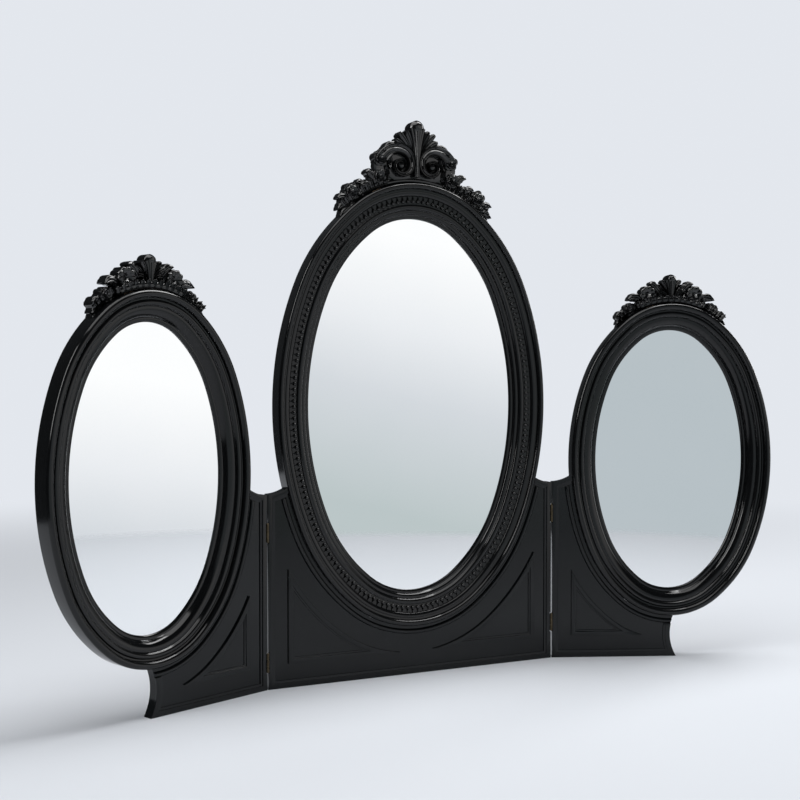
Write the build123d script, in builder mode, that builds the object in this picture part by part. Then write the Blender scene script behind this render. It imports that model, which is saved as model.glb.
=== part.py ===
from build123d import *
import os
from math import cos, radians, sin

# Triple dressing-table mirror: a tall oval mirror between two smaller ones, each on a footed board, with the
# two outer boards hinged to the middle one so that they fold towards the person in front.
# X runs to the right, Y to the back and Z up. The origin is on the table, at the middle of the centre board's
# base and half way through its thickness. All sizes are in millimetres. Depths are measured back from the face
# of the mouldings of a panel, and outlines on a panel are drawn as its viewer sees them.

# Plan of the three panels
HINGE_X = 220.0  # middle of the mirror to each hinge line
WING_FOLD = 21.7  # each wing stands this many degrees forward of the centre panel
HINGE_GAP = 1.0  # hinge line to the edge of either board

# Boards and the mouldings on them
BOARD_THICK = 12.0
MOULDING_HIGH = 3.0
BOARD_FRONT = MOULDING_HIGH
BOARD_BACK = BOARD_FRONT + BOARD_THICK
FACE_Y = -(BOARD_THICK / 2 + MOULDING_HIGH)  # face of the mouldings on the centre board
BOARD_TOP = 272.0  # blank height before the shoulders are scooped
SCOOP_RADIUS = 54.5
SCOOP_CENTRE = 314.5
RIM_WIDE = 7.0
RIM_STEP = 3.2
RIM_STEP_HIGH = 1.4
BEAD_GAP = 4.0
BEAD_WIDE = 8.0
BEAD_EASE = 2.4
BEAD_SPARE = 1.0  # the block that trims the oval beads is this much deeper on each side
GLUE_GAP = 0.1  # glue line between an oval frame and what is cut to fit round it

# Wing feet
FOOT_REACH = 187.1
FOOT_ARC_CENTRE = (243.2, 33.8)
FOOT_ARC_RADIUS = 65.5
FOOT_ZONE = (130.0, 100.0)  # outside and below this point the oval bead runs out to the foot

# Ovals: middle and half axes of the glass in view, how far round its arcs run before they change radius, the
# radius of its four shoulders, and the width of the moulding round it
CENTRE_OVAL = {"at": (0.0, 375.5), "half": (156.5, 260.3), "turns": (38.8, 68.3), "shoulder": 211.7, "frame": 48.3}
WING_OVAL = {"at": (178.8, 291.6), "half": (110.4, 192.2), "turns": (39.6, 68.9), "shoulder": 154.1, "frame": 39.1}

# Stack inside an oval frame
GLASS_DEPTH = 16.7
GLASS_THICK = 4.0
BACKING_THICK = 4.0
FRAME_BACK = GLASS_DEPTH + GLASS_THICK + BACKING_THICK
REBATE = 6.3
GLASS_LAP = 6.0
BACKING_LAP = 5.8

# Raised spandrels in the lower corners of the boards
SPANDREL_WIDE = 6.0
SPANDREL_LIP = 2.5
SPANDREL_LIP_HIGH = 1.2
CENTRE_SPANDREL = {"side": 190.6, "bottom": 31.6, "off": 37.0}
WING_SPANDREL = {"side": 30.1, "bottom": 31.8, "off": 35.0}
SPANDREL_TOP = 200.0

# Butt hinges, their leaves let into the edges of the boards
HINGE_HEIGHTS = {"left": (36.0, 209.0), "right": (53.0, 214.0)}
HINGE_LONG = 25.0
KNUCKLE_RADIUS = 2.0
KNUCKLE_SPLIT = 4.2  # half the length that the middle knuckle has for itself
KNUCKLE_PLAY = 0.15
KNUCKLE_RELIEF = 2.3
PIN_RADIUS = 1.0
PIN_PLAY = 0.04
PIN_PROUD = 0.8
LEAF_THICK = 1.0
LEAF_WIDE = 11.0
LEAF_SCREW_Z = 7.5
LEAF_SCREW_DEPTH = 7.0
LEAF_SCREW_RADIUS = 0.9
LEAF_SCREW_HEAD = 1.7
LEAF_SCREW_SUNK = 0.65
LEAF_SCREW_LONG = 12.0
KNUCKLE_SIDES = 12

# Loose tongues glued into slots, turn buttons and their screws. A place on an oval is the way its edge faces there.
TONGUE_THICK = 4.0
TONGUE_WIDE = 14.0
TONGUE_LONG = 20.0
BOARD_TONGUE_DEPTH = 9.0
CREST_TONGUE_DEPTH = 10.0
BOARD_TONGUES = {"centre": (-23, -46, -90, -134, -157), "wing": (192, 210, 240)}
CREST_TONGUES = {"centre": (67, 90, 113), "wing": (73, 107)}
BUTTON_LONG = 18.0
BUTTON_WIDE = 8.0
BUTTON_CORNER = 2.5
BUTTON_THICK = 1.5
BUTTON_OVER = 4.0  # how far a button reaches over the backing
BUTTON_MIDDLE = BACKING_LAP - BUTTON_OVER + BUTTON_LONG / 2
BUTTON_COUNT = {"centre": 8, "wing": 6}
BUTTON_SCREW_OUT = 4.0  # screw from the middle of the button, away from the glass
BUTTON_SCREW_LONG = 10.0
BUTTON_SCREW_RADIUS = 1.3
BUTTON_SCREW_HEAD = 2.6
BUTTON_SCREW_HEAD_HIGH = 1.6
SHANK_START = FRAME_BACK + BUTTON_THICK - BUTTON_SCREW_LONG
SCREW_SIDES = 6  # the small screws are drawn with six sides

# Crests: marks on the right half, from the middle of their oval. A bloom or scroll is a place and a radius, and
# a leaf is its root, its tip and its width.
CREST_BACK = 18.0
CREST_FRONT = 3.5
CENTRE_CREST = {
    "reach": 111.0,
    "band": 10.0,
    "foot": 256.5,
    "apron": (44.0, 321.0),
    "plume": {"neck": 6.4, "root": 320.0, "waist": 346.5, "curl": 11.0, "curl_at": 384.5, "apex": 395.5},
    "scroll": (23.8, 339.4, 20.6),
    "volute": (24.0, 331.5, 10.0),
    "blooms": [(54.0, 340.5, 10.6), (56.0, 314.5, 9.6), (97.0, 292.5, 12.2)],
    "leaves": [
        ((3.0, 350.0), (15.5, 381.5), 9.0),
        ((6.0, 346.0), (28.0, 376.5), 10.0),
        ((8.0, 343.0), (31.5, 364.5), 10.0),
        ((34.0, 350.0), (50.5, 354.5), 9.0),
        ((46.0, 318.0), (55.0, 338.0), 16.0),
        ((56.0, 304.0), (76.0, 319.5), 13.0),
        ((66.0, 296.0), (87.0, 306.0), 14.0),
        ((92.0, 288.0), (118.0, 281.5), 12.0),
        ((97.0, 280.0), (117.6, 265.5), 11.0),
        ((100.0, 276.0), (114.3, 256.8), 9.0),
    ],
}
WING_CREST = {
    "reach": 79.0,
    "band": 8.0,
    "foot": 196.0,
    "apron": (36.0, 236.0),
    "plume": {"neck": 4.4, "root": 228.0, "waist": 245.0, "curl": 8.5, "curl_at": 267.0, "apex": 274.5},
    "scroll": (35.0, 246.0, 12.0),
    "volute": (13.0, 239.5, 5.6),
    "blooms": [(61.0, 222.5, 10.0)],
    "leaves": [
        ((2.0, 245.0), (14.0, 265.5), 8.0),
        ((8.0, 238.0), (31.5, 261.0), 11.0),
        ((30.0, 248.0), (37.0, 261.5), 11.0),
        ((34.0, 230.0), (64.0, 236.0), 13.0),
        ((60.0, 212.0), (82.0, 211.0), 10.0),
        ((64.0, 208.0), (81.6, 200.0), 9.0),
        ((68.0, 206.0), (80.5, 196.0), 7.0),
    ],
}

PANELS = {
    "left": {"hand": -1, "kind": "wing", "oval": WING_OVAL, "crest": WING_CREST},
    "centre": {"hand": 1, "kind": "centre", "oval": CENTRE_OVAL, "crest": CENTRE_CREST},
    "right": {"hand": 1, "kind": "wing", "oval": WING_OVAL, "crest": WING_CREST},
}
WINGS = ("left", "right")

os.makedirs("parts", exist_ok=True)


def save(sub_part, name):
    """Labels a finished piece and writes it under its own name."""
    sub_part.part.label = name
    export_step(sub_part.part, f"parts/{name}.step")


def panel_face(side):
    """The face plane of a panel: its X to the right, its Y up and its Z to the viewer."""
    if side == "centre":
        return Plane(origin=(0, FACE_Y, 0), x_dir=(1, 0, 0), z_dir=(0, -1, 0))
    hand = PANELS[side]["hand"]
    turn = radians(WING_FOLD)
    return Plane(
        origin=(hand * HINGE_X, FACE_Y, 0),
        x_dir=(cos(turn), -hand * sin(turn), 0),
        z_dir=(-hand * sin(turn), -cos(turn), 0),
    )


def oval_arcs(side):
    """The eight arcs of an oval, from its lowest point round by the right: middle, radius, start and turn.

    The arcs share their tangents. The end and side radii follow from the half axes, so that the arcs close."""
    oval = PANELS[side]["oval"]
    half_x, half_z = oval["half"]
    low, high = oval["turns"]
    mid = oval["shoulder"]
    sin_low, cos_low = sin(radians(low)), cos(radians(low))
    sin_high, cos_high = sin(radians(high)), cos(radians(high))
    rest_x = half_x - mid * (sin_high - sin_low)
    rest_z = half_z - mid * (cos_low - cos_high)
    scale = sin_low * cos_high - (1 - sin_high) * (1 - cos_low)
    end = (rest_x * cos_high - rest_z * (1 - sin_high)) / scale
    flank = (rest_z * sin_low - rest_x * (1 - cos_low)) / scale
    shoulder_x = (end - mid) * sin_low
    shoulder_z = half_z - end + (end - mid) * cos_low
    step = high - low
    arcs = [
        ((0, end - half_z), end, -90, low),
        ((shoulder_x, -shoulder_z), mid, low - 90, step),
        ((half_x - flank, 0), flank, high - 90, 180 - 2 * high),
        ((shoulder_x, shoulder_z), mid, 90 - high, step),
        ((0, half_z - end), end, 90 - low, 2 * low),
        ((-shoulder_x, shoulder_z), mid, 90 + low, step),
        ((flank - half_x, 0), flank, 90 + high, 180 - 2 * high),
        ((-shoulder_x, -shoulder_z), mid, 270 - high, step),
        ((0, end - half_z), end, 270 - low, low),
    ]
    middle = Vector(PANELS[side]["hand"] * oval["at"][0], oval["at"][1])
    return [(middle + Vector(*centre), radius, start, turn) for centre, radius, start, turn in arcs]


def oval_spot(side, angle, off):
    """The point off outside the glass in view where the oval faces the angle, and the way it faces."""
    if PANELS[side]["hand"] < 0:
        angle = 180 - angle
    angle = (angle + 90) % 360 - 90
    out = Vector(cos(radians(angle)), sin(radians(angle)))
    for centre, radius, start, turn in oval_arcs(side):
        if start <= angle <= start + turn:
            return centre + out * (radius + off), out


def draw_oval(side, off=0.0):
    """Draws the line that runs off outside the edge of the glass in view."""
    for centre, radius, start, turn in oval_arcs(side):
        CenterArc(tuple(centre), radius + off, start, turn)


def plane_out_of_oval(side, angle, off, depth):
    """A plane square to the oval's edge, facing away from the glass."""
    face = panel_face(side)
    spot, out = oval_spot(side, angle, off)
    along = face.from_local_coords(spot + out) - face.from_local_coords(spot)
    origin = face.from_local_coords(Vector(spot.X, spot.Y, -depth))
    return Plane(origin=origin, x_dir=face.z_dir, z_dir=along)


def back_plane(side, angle, off, depth):
    """A plane on the back of a panel, facing back, with its X straight out from the oval."""
    face = panel_face(side)
    spot, out = oval_spot(side, angle, off)
    across = face.from_local_coords(spot + out) - face.from_local_coords(spot)
    origin = face.from_local_coords(Vector(spot.X, spot.Y, -depth))
    return Plane(origin=origin, x_dir=across, z_dir=-face.z_dir)


def button_angles(side):
    """The places of the turn buttons round a frame."""
    count = BUTTON_COUNT[PANELS[side]["kind"]]
    return [90 + (k + 0.5) * 360 / count for k in range(count)]


def oval_area(side, off, mode=Mode.ADD):
    """The region inside the line that runs off outside the edge of the glass in view."""
    with BuildSketch(mode=Mode.PRIVATE) as flat:
        with BuildLine():
            draw_oval(side, off)
        make_face()
    add(flat.sketch, mode=mode)


def board_outline(side, inset=0.0, mode=Mode.ADD):
    """The outline of a board before the oval is cut from it, drawn in by inset all round."""
    hand = PANELS[side]["hand"]
    with BuildSketch(mode=Mode.PRIVATE) as flat:
        if side == "centre":
            with Locations((0, BOARD_TOP / 2)):
                Rectangle(2 * (HINGE_X - HINGE_GAP), BOARD_TOP)
            scoops = [(HINGE_X, SCOOP_CENTRE), (-HINGE_X, SCOOP_CENTRE)]
        else:
            with Locations((hand * (HINGE_GAP + FOOT_REACH) / 2, BOARD_TOP / 2)):
                Rectangle(FOOT_REACH - HINGE_GAP, BOARD_TOP)
            with Locations((hand * FOOT_ARC_CENTRE[0], FOOT_ARC_CENTRE[1])):
                Circle(FOOT_ARC_RADIUS, mode=Mode.SUBTRACT)
            scoops = [(0, SCOOP_CENTRE)]
        with Locations(*scoops):
            Circle(SCOOP_RADIUS, mode=Mode.SUBTRACT)
        if inset:
            offset(amount=-inset, kind=Kind.INTERSECTION)
    add(flat.sketch, mode=mode)


def foot_zone(side, mode):
    """The corner of a wing where the oval bead, and not the edge moulding, runs through."""
    hand = PANELS[side]["hand"]
    inner, top = FOOT_ZONE
    with Locations((hand * (inner + 50), top - 50)):
        Rectangle(100, 100, mode=mode)


def hinge_sides(side):
    """For each hinge edge of a panel: which hinge it is, and the way from its line into this board."""
    if side == "centre":
        return [("left", 1), ("right", -1)]
    return [(side, PANELS[side]["hand"])]


def hinge_line(side, hinge):
    """The plane square to a hinge line at table height, with its X across this panel and its Y to the back."""
    face = panel_face(side)
    origin = (PANELS[hinge]["hand"] * HINGE_X, FACE_Y, 0)
    return Plane(origin=origin, x_dir=face.x_dir, z_dir=(0, 0, 1))


def cut_leaf_slots(side):
    """Cuts the shallow slots in the board's edge that the hinge leaves lie in."""
    for hinge, inward in hinge_sides(side):
        line = hinge_line(side, hinge)
        for height in HINGE_HEIGHTS[hinge]:
            with BuildSketch(line.offset(height - HINGE_LONG / 2), mode=Mode.PRIVATE) as slot:
                with Locations((inward * (HINGE_GAP + LEAF_THICK) / 2, LEAF_WIDE / 2)):
                    Rectangle(HINGE_GAP + LEAF_THICK, LEAF_WIDE)
            extrude(slot.sketch, amount=HINGE_LONG, mode=Mode.SUBTRACT)


def cut_knuckle_notches(side):
    """Hollows out the edge of a moulding round the hinge knuckles and the heads of their pins."""
    for hinge, _ in hinge_sides(side):
        half = HINGE_LONG / 2 + 2 * PIN_PROUD
        for height in HINGE_HEIGHTS[hinge]:
            with BuildSketch(hinge_line(side, hinge).offset(height - half), mode=Mode.PRIVATE) as notch:
                RegularPolygon(KNUCKLE_RELIEF, KNUCKLE_SIDES)
            extrude(notch.sketch, amount=2 * half, mode=Mode.SUBTRACT)


def leaf_screw_planes(side, hinge, inward):
    """One plane for each leaf screw of a hinge edge, on the leaf's open face and facing into the board."""
    line = hinge_line(side, hinge)
    planes = []
    for height in HINGE_HEIGHTS[hinge]:
        for step in (-LEAF_SCREW_Z, LEAF_SCREW_Z):
            origin = line.from_local_coords(Vector(inward * HINGE_GAP, LEAF_SCREW_DEPTH, height + step))
            planes.append(Plane(origin=origin, x_dir=(0, 0, 1), z_dir=line.x_dir * inward))
    return planes


# Boards: the flat panels that stand on the table, cut out round the frames
for side, panel in PANELS.items():
    face = panel_face(side)
    frame_edge = panel["oval"]["frame"] + GLUE_GAP
    with BuildPart() as board:
        with BuildSketch(face.offset(-BOARD_BACK)):
            board_outline(side)
            oval_area(side, frame_edge, mode=Mode.SUBTRACT)
        extrude(amount=BOARD_THICK)
        cut_leaf_slots(side)
        for hinge, inward in hinge_sides(side):
            for plane in leaf_screw_planes(side, hinge, inward):
                with BuildSketch(plane):
                    RegularPolygon(LEAF_SCREW_RADIUS, SCREW_SIDES)
                extrude(amount=LEAF_SCREW_LONG, mode=Mode.SUBTRACT)
        for angle in BOARD_TONGUES[panel["kind"]]:
            with BuildSketch(plane_out_of_oval(side, angle, panel["oval"]["frame"], BOARD_TONGUE_DEPTH)):
                Rectangle(TONGUE_THICK, TONGUE_WIDE)
            extrude(amount=TONGUE_LONG / 2, mode=Mode.SUBTRACT)
    save(board, f"{side}_board")

# Edge mouldings: a raised border with a lower step inside it, round the edge of each board
for side, panel in PANELS.items():
    face = panel_face(side)
    with BuildPart() as rim:
        for inset, high in ((RIM_WIDE, MOULDING_HIGH), (RIM_WIDE + RIM_STEP, RIM_STEP_HIGH)):
            with BuildSketch(face.offset(-BOARD_FRONT)):
                board_outline(side)
                board_outline(side, inset=inset, mode=Mode.SUBTRACT)
                oval_area(side, panel["oval"]["frame"] + GLUE_GAP, mode=Mode.SUBTRACT)
                if panel["kind"] == "wing":
                    with BuildSketch(mode=Mode.PRIVATE) as run_out:
                        oval_area(side, panel["oval"]["frame"] + BEAD_GAP + BEAD_WIDE)
                        foot_zone(side, Mode.INTERSECT)
                    add(run_out.sketch, mode=Mode.SUBTRACT)
            extrude(amount=high)
        cut_leaf_slots(side)
        cut_knuckle_notches(side)
    save(rim, f"{side}_edge_moulding")

# Oval beads: half-round mouldings on the boards that follow the frames
for side, panel in PANELS.items():
    face = panel_face(side)
    oval = panel["oval"]
    middle = (panel["hand"] * oval["at"][0], oval["at"][1])
    with BuildPart() as bead:
        with BuildLine(face) as path:
            draw_oval(side)
        bottom = face.from_local_coords(Vector(middle[0], middle[1] - oval["half"][1]))
        with BuildSketch(Plane(origin=bottom, x_dir=(0, 0, -1), z_dir=face.x_dir)):
            inner = oval["frame"] + BEAD_GAP
            with BuildLine():
                Polyline(
                    (inner, BOARD_FRONT),
                    (inner + BEAD_EASE, 0),
                    (inner + BEAD_WIDE - BEAD_EASE, 0),
                    (inner + BEAD_WIDE, BOARD_FRONT),
                    close=True,
                )
            make_face()
        sweep(path=path.line)
        with BuildSketch(face.offset(-BOARD_FRONT - BEAD_SPARE)):
            board_outline(side, inset=RIM_WIDE + RIM_STEP)
            if panel["kind"] == "wing":
                with BuildSketch(mode=Mode.PRIVATE) as foot:
                    board_outline(side)
                    foot_zone(side, Mode.INTERSECT)
                add(foot.sketch)
        extrude(amount=MOULDING_HIGH + 2 * BEAD_SPARE, mode=Mode.INTERSECT)
    save(bead, f"{side}_oval_bead")


def spandrel_area(side, hand, inset, mode=Mode.ADD):
    """The three-cornered outline of a spandrel, drawn in by inset all round."""
    panel = PANELS[side]
    if side == "centre":
        marks = CENTRE_SPANDREL
        low, high = 0, marks["side"] - inset
    else:
        marks = WING_SPANDREL
        low, high = marks["side"] + inset, panel["oval"]["at"][0]
    bottom = marks["bottom"] + inset
    with BuildSketch(mode=Mode.PRIVATE) as flat:
        with Locations((hand * (low + high) / 2, (bottom + SPANDREL_TOP) / 2)):
            Rectangle(high - low, SPANDREL_TOP - bottom)
        oval_area(side, panel["oval"]["frame"] + marks["off"] + inset, mode=Mode.SUBTRACT)
    add(flat.sketch, mode=mode)


def spandrel(side, hand):
    """A raised three-cornered moulding with a lower lip inside it, in a lower corner of a board."""
    with BuildPart() as raised:
        for wide, high in ((SPANDREL_WIDE, MOULDING_HIGH), (SPANDREL_WIDE + SPANDREL_LIP, SPANDREL_LIP_HIGH)):
            with BuildSketch(panel_face(side).offset(-BOARD_FRONT)):
                spandrel_area(side, hand, 0)
                spandrel_area(side, hand, wide, mode=Mode.SUBTRACT)
            extrude(amount=high)
    return raised


# Spandrels: two on the centre board, one on each wing beside its hinge
for hand, name in ((-1, "left"), (1, "right")):
    save(spandrel("centre", hand), f"centre_{name}_spandrel")
for side in WINGS:
    save(spandrel(side, PANELS[side]["hand"]), f"{side}_spandrel")


# Sections of the mouldings as (out from the glass, depth). Tall frame: rebate, cove, band, channel for the pearls,
# slope and torus. Wing frame: rebate, a broad cove, a small bead and a torus.
REBATE_SECTION = ((REBATE, FRAME_BACK), (REBATE, GLASS_DEPTH), (0, GLASS_DEPTH))
CENTRE_SECTION = (
    *((0, 14.9), (7.2, 10.4), (11.4, 9.3), (11.4, 8.2), (19.5, 6.0), (19.5, 7.4), (30.5, 6.0)),
    *((30.5, 4.4), (36.8, 1.6), (40.2, 0.7), (42.0, -3.2), (46.4, -3.2), (48.3, 0.7), (48.3, FRAME_BACK)),
)
WING_SECTION = (
    *((0, 15.2), (6.6, 11.6), (11.6, 7.4), (19.0, 5.0), (19.6, 3.2), (23.0, 0.8), (27.0, 1.8)),
    *((29.2, 0.6), (31.5, -3.2), (36.6, -3.2), (39.1, 0.6), (39.1, FRAME_BACK)),
)
PEARL_SECTION = ((20.5, 7.27), (22.0, 4.6), (26.0, 4.2), (28.6, 6.24))


# Oval frames: one moulding section carried round the oval, with a rebate behind for the glass
for side, panel in PANELS.items():
    face = panel_face(side)
    oval = panel["oval"]
    middle = (panel["hand"] * oval["at"][0], oval["at"][1])
    with BuildPart() as frame:
        with BuildLine(face) as path:
            draw_oval(side)
        bottom = face.from_local_coords(Vector(middle[0], middle[1] - oval["half"][1]))
        with BuildSketch(Plane(origin=bottom, x_dir=(0, 0, -1), z_dir=face.x_dir)):
            with BuildLine():
                Polyline(*REBATE_SECTION, *(CENTRE_SECTION if side == "centre" else WING_SECTION), close=True)
            make_face()
        sweep(path=path.line)
        for angle in button_angles(side):
            with BuildSketch(back_plane(side, angle, BUTTON_MIDDLE + BUTTON_SCREW_OUT, SHANK_START)):
                RegularPolygon(BUTTON_SCREW_RADIUS, SCREW_SIDES)
            extrude(amount=FRAME_BACK - SHANK_START, mode=Mode.SUBTRACT)
        slots = [(angle, BOARD_TONGUE_DEPTH) for angle in BOARD_TONGUES[panel["kind"]]]
        slots += [(angle, CREST_TONGUE_DEPTH) for angle in CREST_TONGUES[panel["kind"]]]
        for angle, depth in slots:
            with BuildSketch(plane_out_of_oval(side, angle, oval["frame"] - TONGUE_LONG / 2, depth)):
                Rectangle(TONGUE_THICK, TONGUE_WIDE)
            extrude(amount=TONGUE_LONG, mode=Mode.SUBTRACT)
    save(frame, f"{side}_frame")

# Pearl course: a half-round strip bedded in the channel of the tall frame
with BuildPart() as pearl_strip:
    face = panel_face("centre")
    with BuildLine(face) as path:
        draw_oval("centre")
    bottom = face.from_local_coords(Vector(0, CENTRE_OVAL["at"][1] - CENTRE_OVAL["half"][1]))
    with BuildSketch(Plane(origin=bottom, x_dir=(0, 0, -1), z_dir=face.x_dir)):
        with BuildLine():
            Polyline(*PEARL_SECTION, close=True)
        make_face()
    sweep(path=path.line)
save(pearl_strip, "centre_pearl_strip")

# Mirror glasses, and the boards that close the frames behind them
for side, panel in PANELS.items():
    face = panel_face(side)
    with BuildPart() as glass:
        with BuildSketch(face.offset(-GLASS_DEPTH - GLASS_THICK)):
            oval_area(side, GLASS_LAP)
        extrude(amount=GLASS_THICK)
    save(glass, f"{side}_mirror_glass")
    with BuildPart() as backing:
        with BuildSketch(face.offset(-FRAME_BACK)):
            oval_area(side, BACKING_LAP)
        extrude(amount=BACKING_THICK)
    save(backing, f"{side}_backing")


# Turn buttons on the backs of the frames, and the round-head screws that they turn on
for side, panel in PANELS.items():
    with BuildPart() as buttons:
        for angle in button_angles(side):
            with BuildSketch(back_plane(side, angle, BUTTON_MIDDLE, FRAME_BACK)):
                blank = Rectangle(BUTTON_LONG, BUTTON_WIDE)
                chamfer(blank.vertices(), BUTTON_CORNER)
                with Locations((BUTTON_SCREW_OUT, 0)):
                    RegularPolygon(BUTTON_SCREW_RADIUS, SCREW_SIDES, mode=Mode.SUBTRACT)
            extrude(amount=BUTTON_THICK)
    save(buttons, f"{side}_turn_buttons")
    with BuildPart() as button_screws:
        for angle in button_angles(side):
            plane = back_plane(side, angle, BUTTON_MIDDLE + BUTTON_SCREW_OUT, SHANK_START)
            with BuildSketch(plane):
                RegularPolygon(BUTTON_SCREW_RADIUS, SCREW_SIDES)
            extrude(amount=BUTTON_SCREW_LONG)
            with BuildSketch(plane.offset(BUTTON_SCREW_LONG)):
                RegularPolygon(BUTTON_SCREW_HEAD, SCREW_SIDES)
            extrude(amount=BUTTON_SCREW_HEAD_HIGH, taper=35)
    save(button_screws, f"{side}_button_screws")


def crest_shape(plane, points, high, cut=False):
    """Raises a carved shape with flat sides from the crest's back, or cuts it away again."""
    with BuildSketch(plane, mode=Mode.PRIVATE) as outline:
        with BuildLine():
            Polyline(*points, close=True)
        make_face()
    extrude(outline.sketch, amount=high, mode=Mode.SUBTRACT if cut else Mode.ADD)


def ring_points(spot, radii, count):
    """Points round a spot, at each of the radii in turn."""
    turns = [radians(90 + 360 * k / count) for k in range(count)]
    reach = [radii[k % len(radii)] for k in range(count)]
    return [(spot[0] + r * cos(turn), spot[1] + r * sin(turn)) for r, turn in zip(reach, turns)]


def crest_leaf(plane, root, tip, wide, high):
    """A pointed leaf, widest a third of the way along."""
    along = Vector(*tip) - Vector(*root)
    across = Vector(-along.Y, along.X).normalized() * wide / 2
    start = Vector(*root)
    left = [start + along * 0.3 + across, start + along * 0.75 + across * 0.7]
    right = [start + along * 0.75 - across * 0.7, start + along * 0.3 - across]
    crest_shape(plane, [tuple(p)[:2] for p in (start, *left, start + along, *right)], high)


def crest_bloom(plane, spot, radius, high):
    """A rose of five petals with a boss in the middle."""
    crest_shape(plane, ring_points(spot, (radius, 0.8 * radius), 10), high - 2)
    crest_shape(plane, ring_points(spot, (0.42 * radius,), 5), high)


def crest_scroll(plane, hand, scroll, volute, high):
    """A raised C-scroll: a dished disc with a standing border, and a coiled ridge on its volute."""
    x, z, radius = scroll
    crest_shape(plane, ring_points((hand * x, z), (radius,), 16), high)
    dish = plane.offset(high - 2)
    crest_shape(dish, ring_points((hand * x, z), (radius - 3.2,), 16), 2, cut=True)
    x, z, radius = volute
    crest_shape(plane, ring_points((hand * x, z), (radius,), 12), high)
    crest_shape(dish, ring_points((hand * x, z), (radius * 0.72,), 12), 2, cut=True)
    crest_shape(plane, ring_points((hand * x, z), (radius * 0.4,), 6), high)


def crest_plume(plane, marks, high):
    """The middle stem, which widens from its waist to a curled-over head."""
    half = [
        (marks["neck"] + 3, marks["root"]),
        (marks["neck"], marks["waist"]),
        (marks["curl"] * 0.75, marks["curl_at"] * 0.6 + marks["waist"] * 0.4),
        (marks["curl"], marks["curl_at"]),
        (marks["curl"] * 0.62, marks["apex"] * 0.85 + marks["curl_at"] * 0.15),
    ]
    points = half + [(0, marks["apex"])] + [(-x, z) for x, z in reversed(half)]
    crest_shape(plane, points, high)


# Crests: carved from one block each, seated on the top of their frames
for side, panel in PANELS.items():
    face = panel_face(side)
    oval = panel["oval"]
    marks = panel["crest"]
    middle = Vector(panel["hand"] * oval["at"][0], oval["at"][1], -CREST_BACK)
    plane = Plane(origin=face.from_local_coords(middle), x_dir=face.x_dir, z_dir=face.z_dir)
    full = CREST_BACK + CREST_FRONT
    with BuildPart() as crest:
        with BuildSketch(face.offset(-CREST_BACK)):
            oval_area(side, oval["frame"] + marks["band"])
            with Locations((middle.X, middle.Y + marks["foot"] + marks["reach"] / 2)):
                Rectangle(2 * marks["reach"], marks["reach"], mode=Mode.INTERSECT)
            with Locations((middle.X, middle.Y + marks["apron"][1] / 2)):
                Rectangle(2 * marks["apron"][0], marks["apron"][1])
        extrude(amount=CREST_BACK)
        crest_plume(plane, marks["plume"], full)
        for hand in (-1, 1):
            crest_scroll(plane, hand, marks["scroll"], marks["volute"], full)
            for x, z, radius in marks["blooms"]:
                crest_bloom(plane, (hand * x, z), radius, full)
            for root, tip, wide in marks["leaves"]:
                high = full - 2 - 0.06 * abs(root[0])
                crest_leaf(plane, (hand * root[0], root[1]), (hand * tip[0], tip[1]), wide, high)
        with BuildSketch(face.offset(-CREST_BACK)):
            oval_area(side, oval["frame"] + GLUE_GAP)
        extrude(amount=full, mode=Mode.SUBTRACT)
        for angle in CREST_TONGUES[panel["kind"]]:
            with BuildSketch(plane_out_of_oval(side, angle, oval["frame"], CREST_TONGUE_DEPTH)):
                Rectangle(TONGUE_THICK, TONGUE_WIDE)
            extrude(amount=TONGUE_LONG / 2, mode=Mode.SUBTRACT)
    save(crest, f"{side}_crest")

# Loose tongues: half their length in a slot of the frame, half in the board or crest
for side, panel in PANELS.items():
    start = panel["oval"]["frame"] - TONGUE_LONG / 2
    for name, places, depth in (
        ("frame_tongues", BOARD_TONGUES, BOARD_TONGUE_DEPTH),
        ("crest_tongues", CREST_TONGUES, CREST_TONGUE_DEPTH),
    ):
        with BuildPart() as tongues:
            for angle in places[panel["kind"]]:
                with BuildSketch(plane_out_of_oval(side, angle, start, depth)):
                    Rectangle(TONGUE_THICK, TONGUE_WIDE)
                extrude(amount=TONGUE_LONG)
        save(tongues, f"{side}_{name}")


def hinge_leaf(side, hinge, inward, spans, other_spans):
    """One leaf of each hinge on a line: a plate let into the board's edge, and its share of the knuckles."""
    line = hinge_line(side, hinge)
    with BuildPart() as leaf:
        for height in HINGE_HEIGHTS[hinge]:
            with BuildSketch(line.offset(height - HINGE_LONG / 2)):
                with Locations((inward * (HINGE_GAP + LEAF_THICK / 2), LEAF_WIDE / 2)):
                    Rectangle(LEAF_THICK, LEAF_WIDE)
            extrude(amount=HINGE_LONG)
            for low, high in other_spans:
                with BuildSketch(line.offset(height + low - KNUCKLE_PLAY)):
                    RegularPolygon(KNUCKLE_RELIEF, KNUCKLE_SIDES)
                extrude(amount=high - low + 2 * KNUCKLE_PLAY, mode=Mode.SUBTRACT)
            for low, high in spans:
                with BuildSketch(line.offset(height + low)):
                    RegularPolygon(KNUCKLE_RADIUS, KNUCKLE_SIDES)
                extrude(amount=high - low)
                with BuildSketch(line.offset(height + low)):
                    Circle(PIN_RADIUS + (0 if side == "centre" else PIN_PLAY))
                extrude(amount=high - low, mode=Mode.SUBTRACT)
        for plane in leaf_screw_planes(side, hinge, inward):
            with BuildSketch(plane):
                RegularPolygon(LEAF_SCREW_HEAD, SCREW_SIDES)
            extrude(amount=LEAF_SCREW_SUNK, taper=45, mode=Mode.SUBTRACT)
            with BuildSketch(plane):
                RegularPolygon(LEAF_SCREW_RADIUS, SCREW_SIDES)
            extrude(amount=LEAF_THICK, mode=Mode.SUBTRACT)
    return leaf


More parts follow.
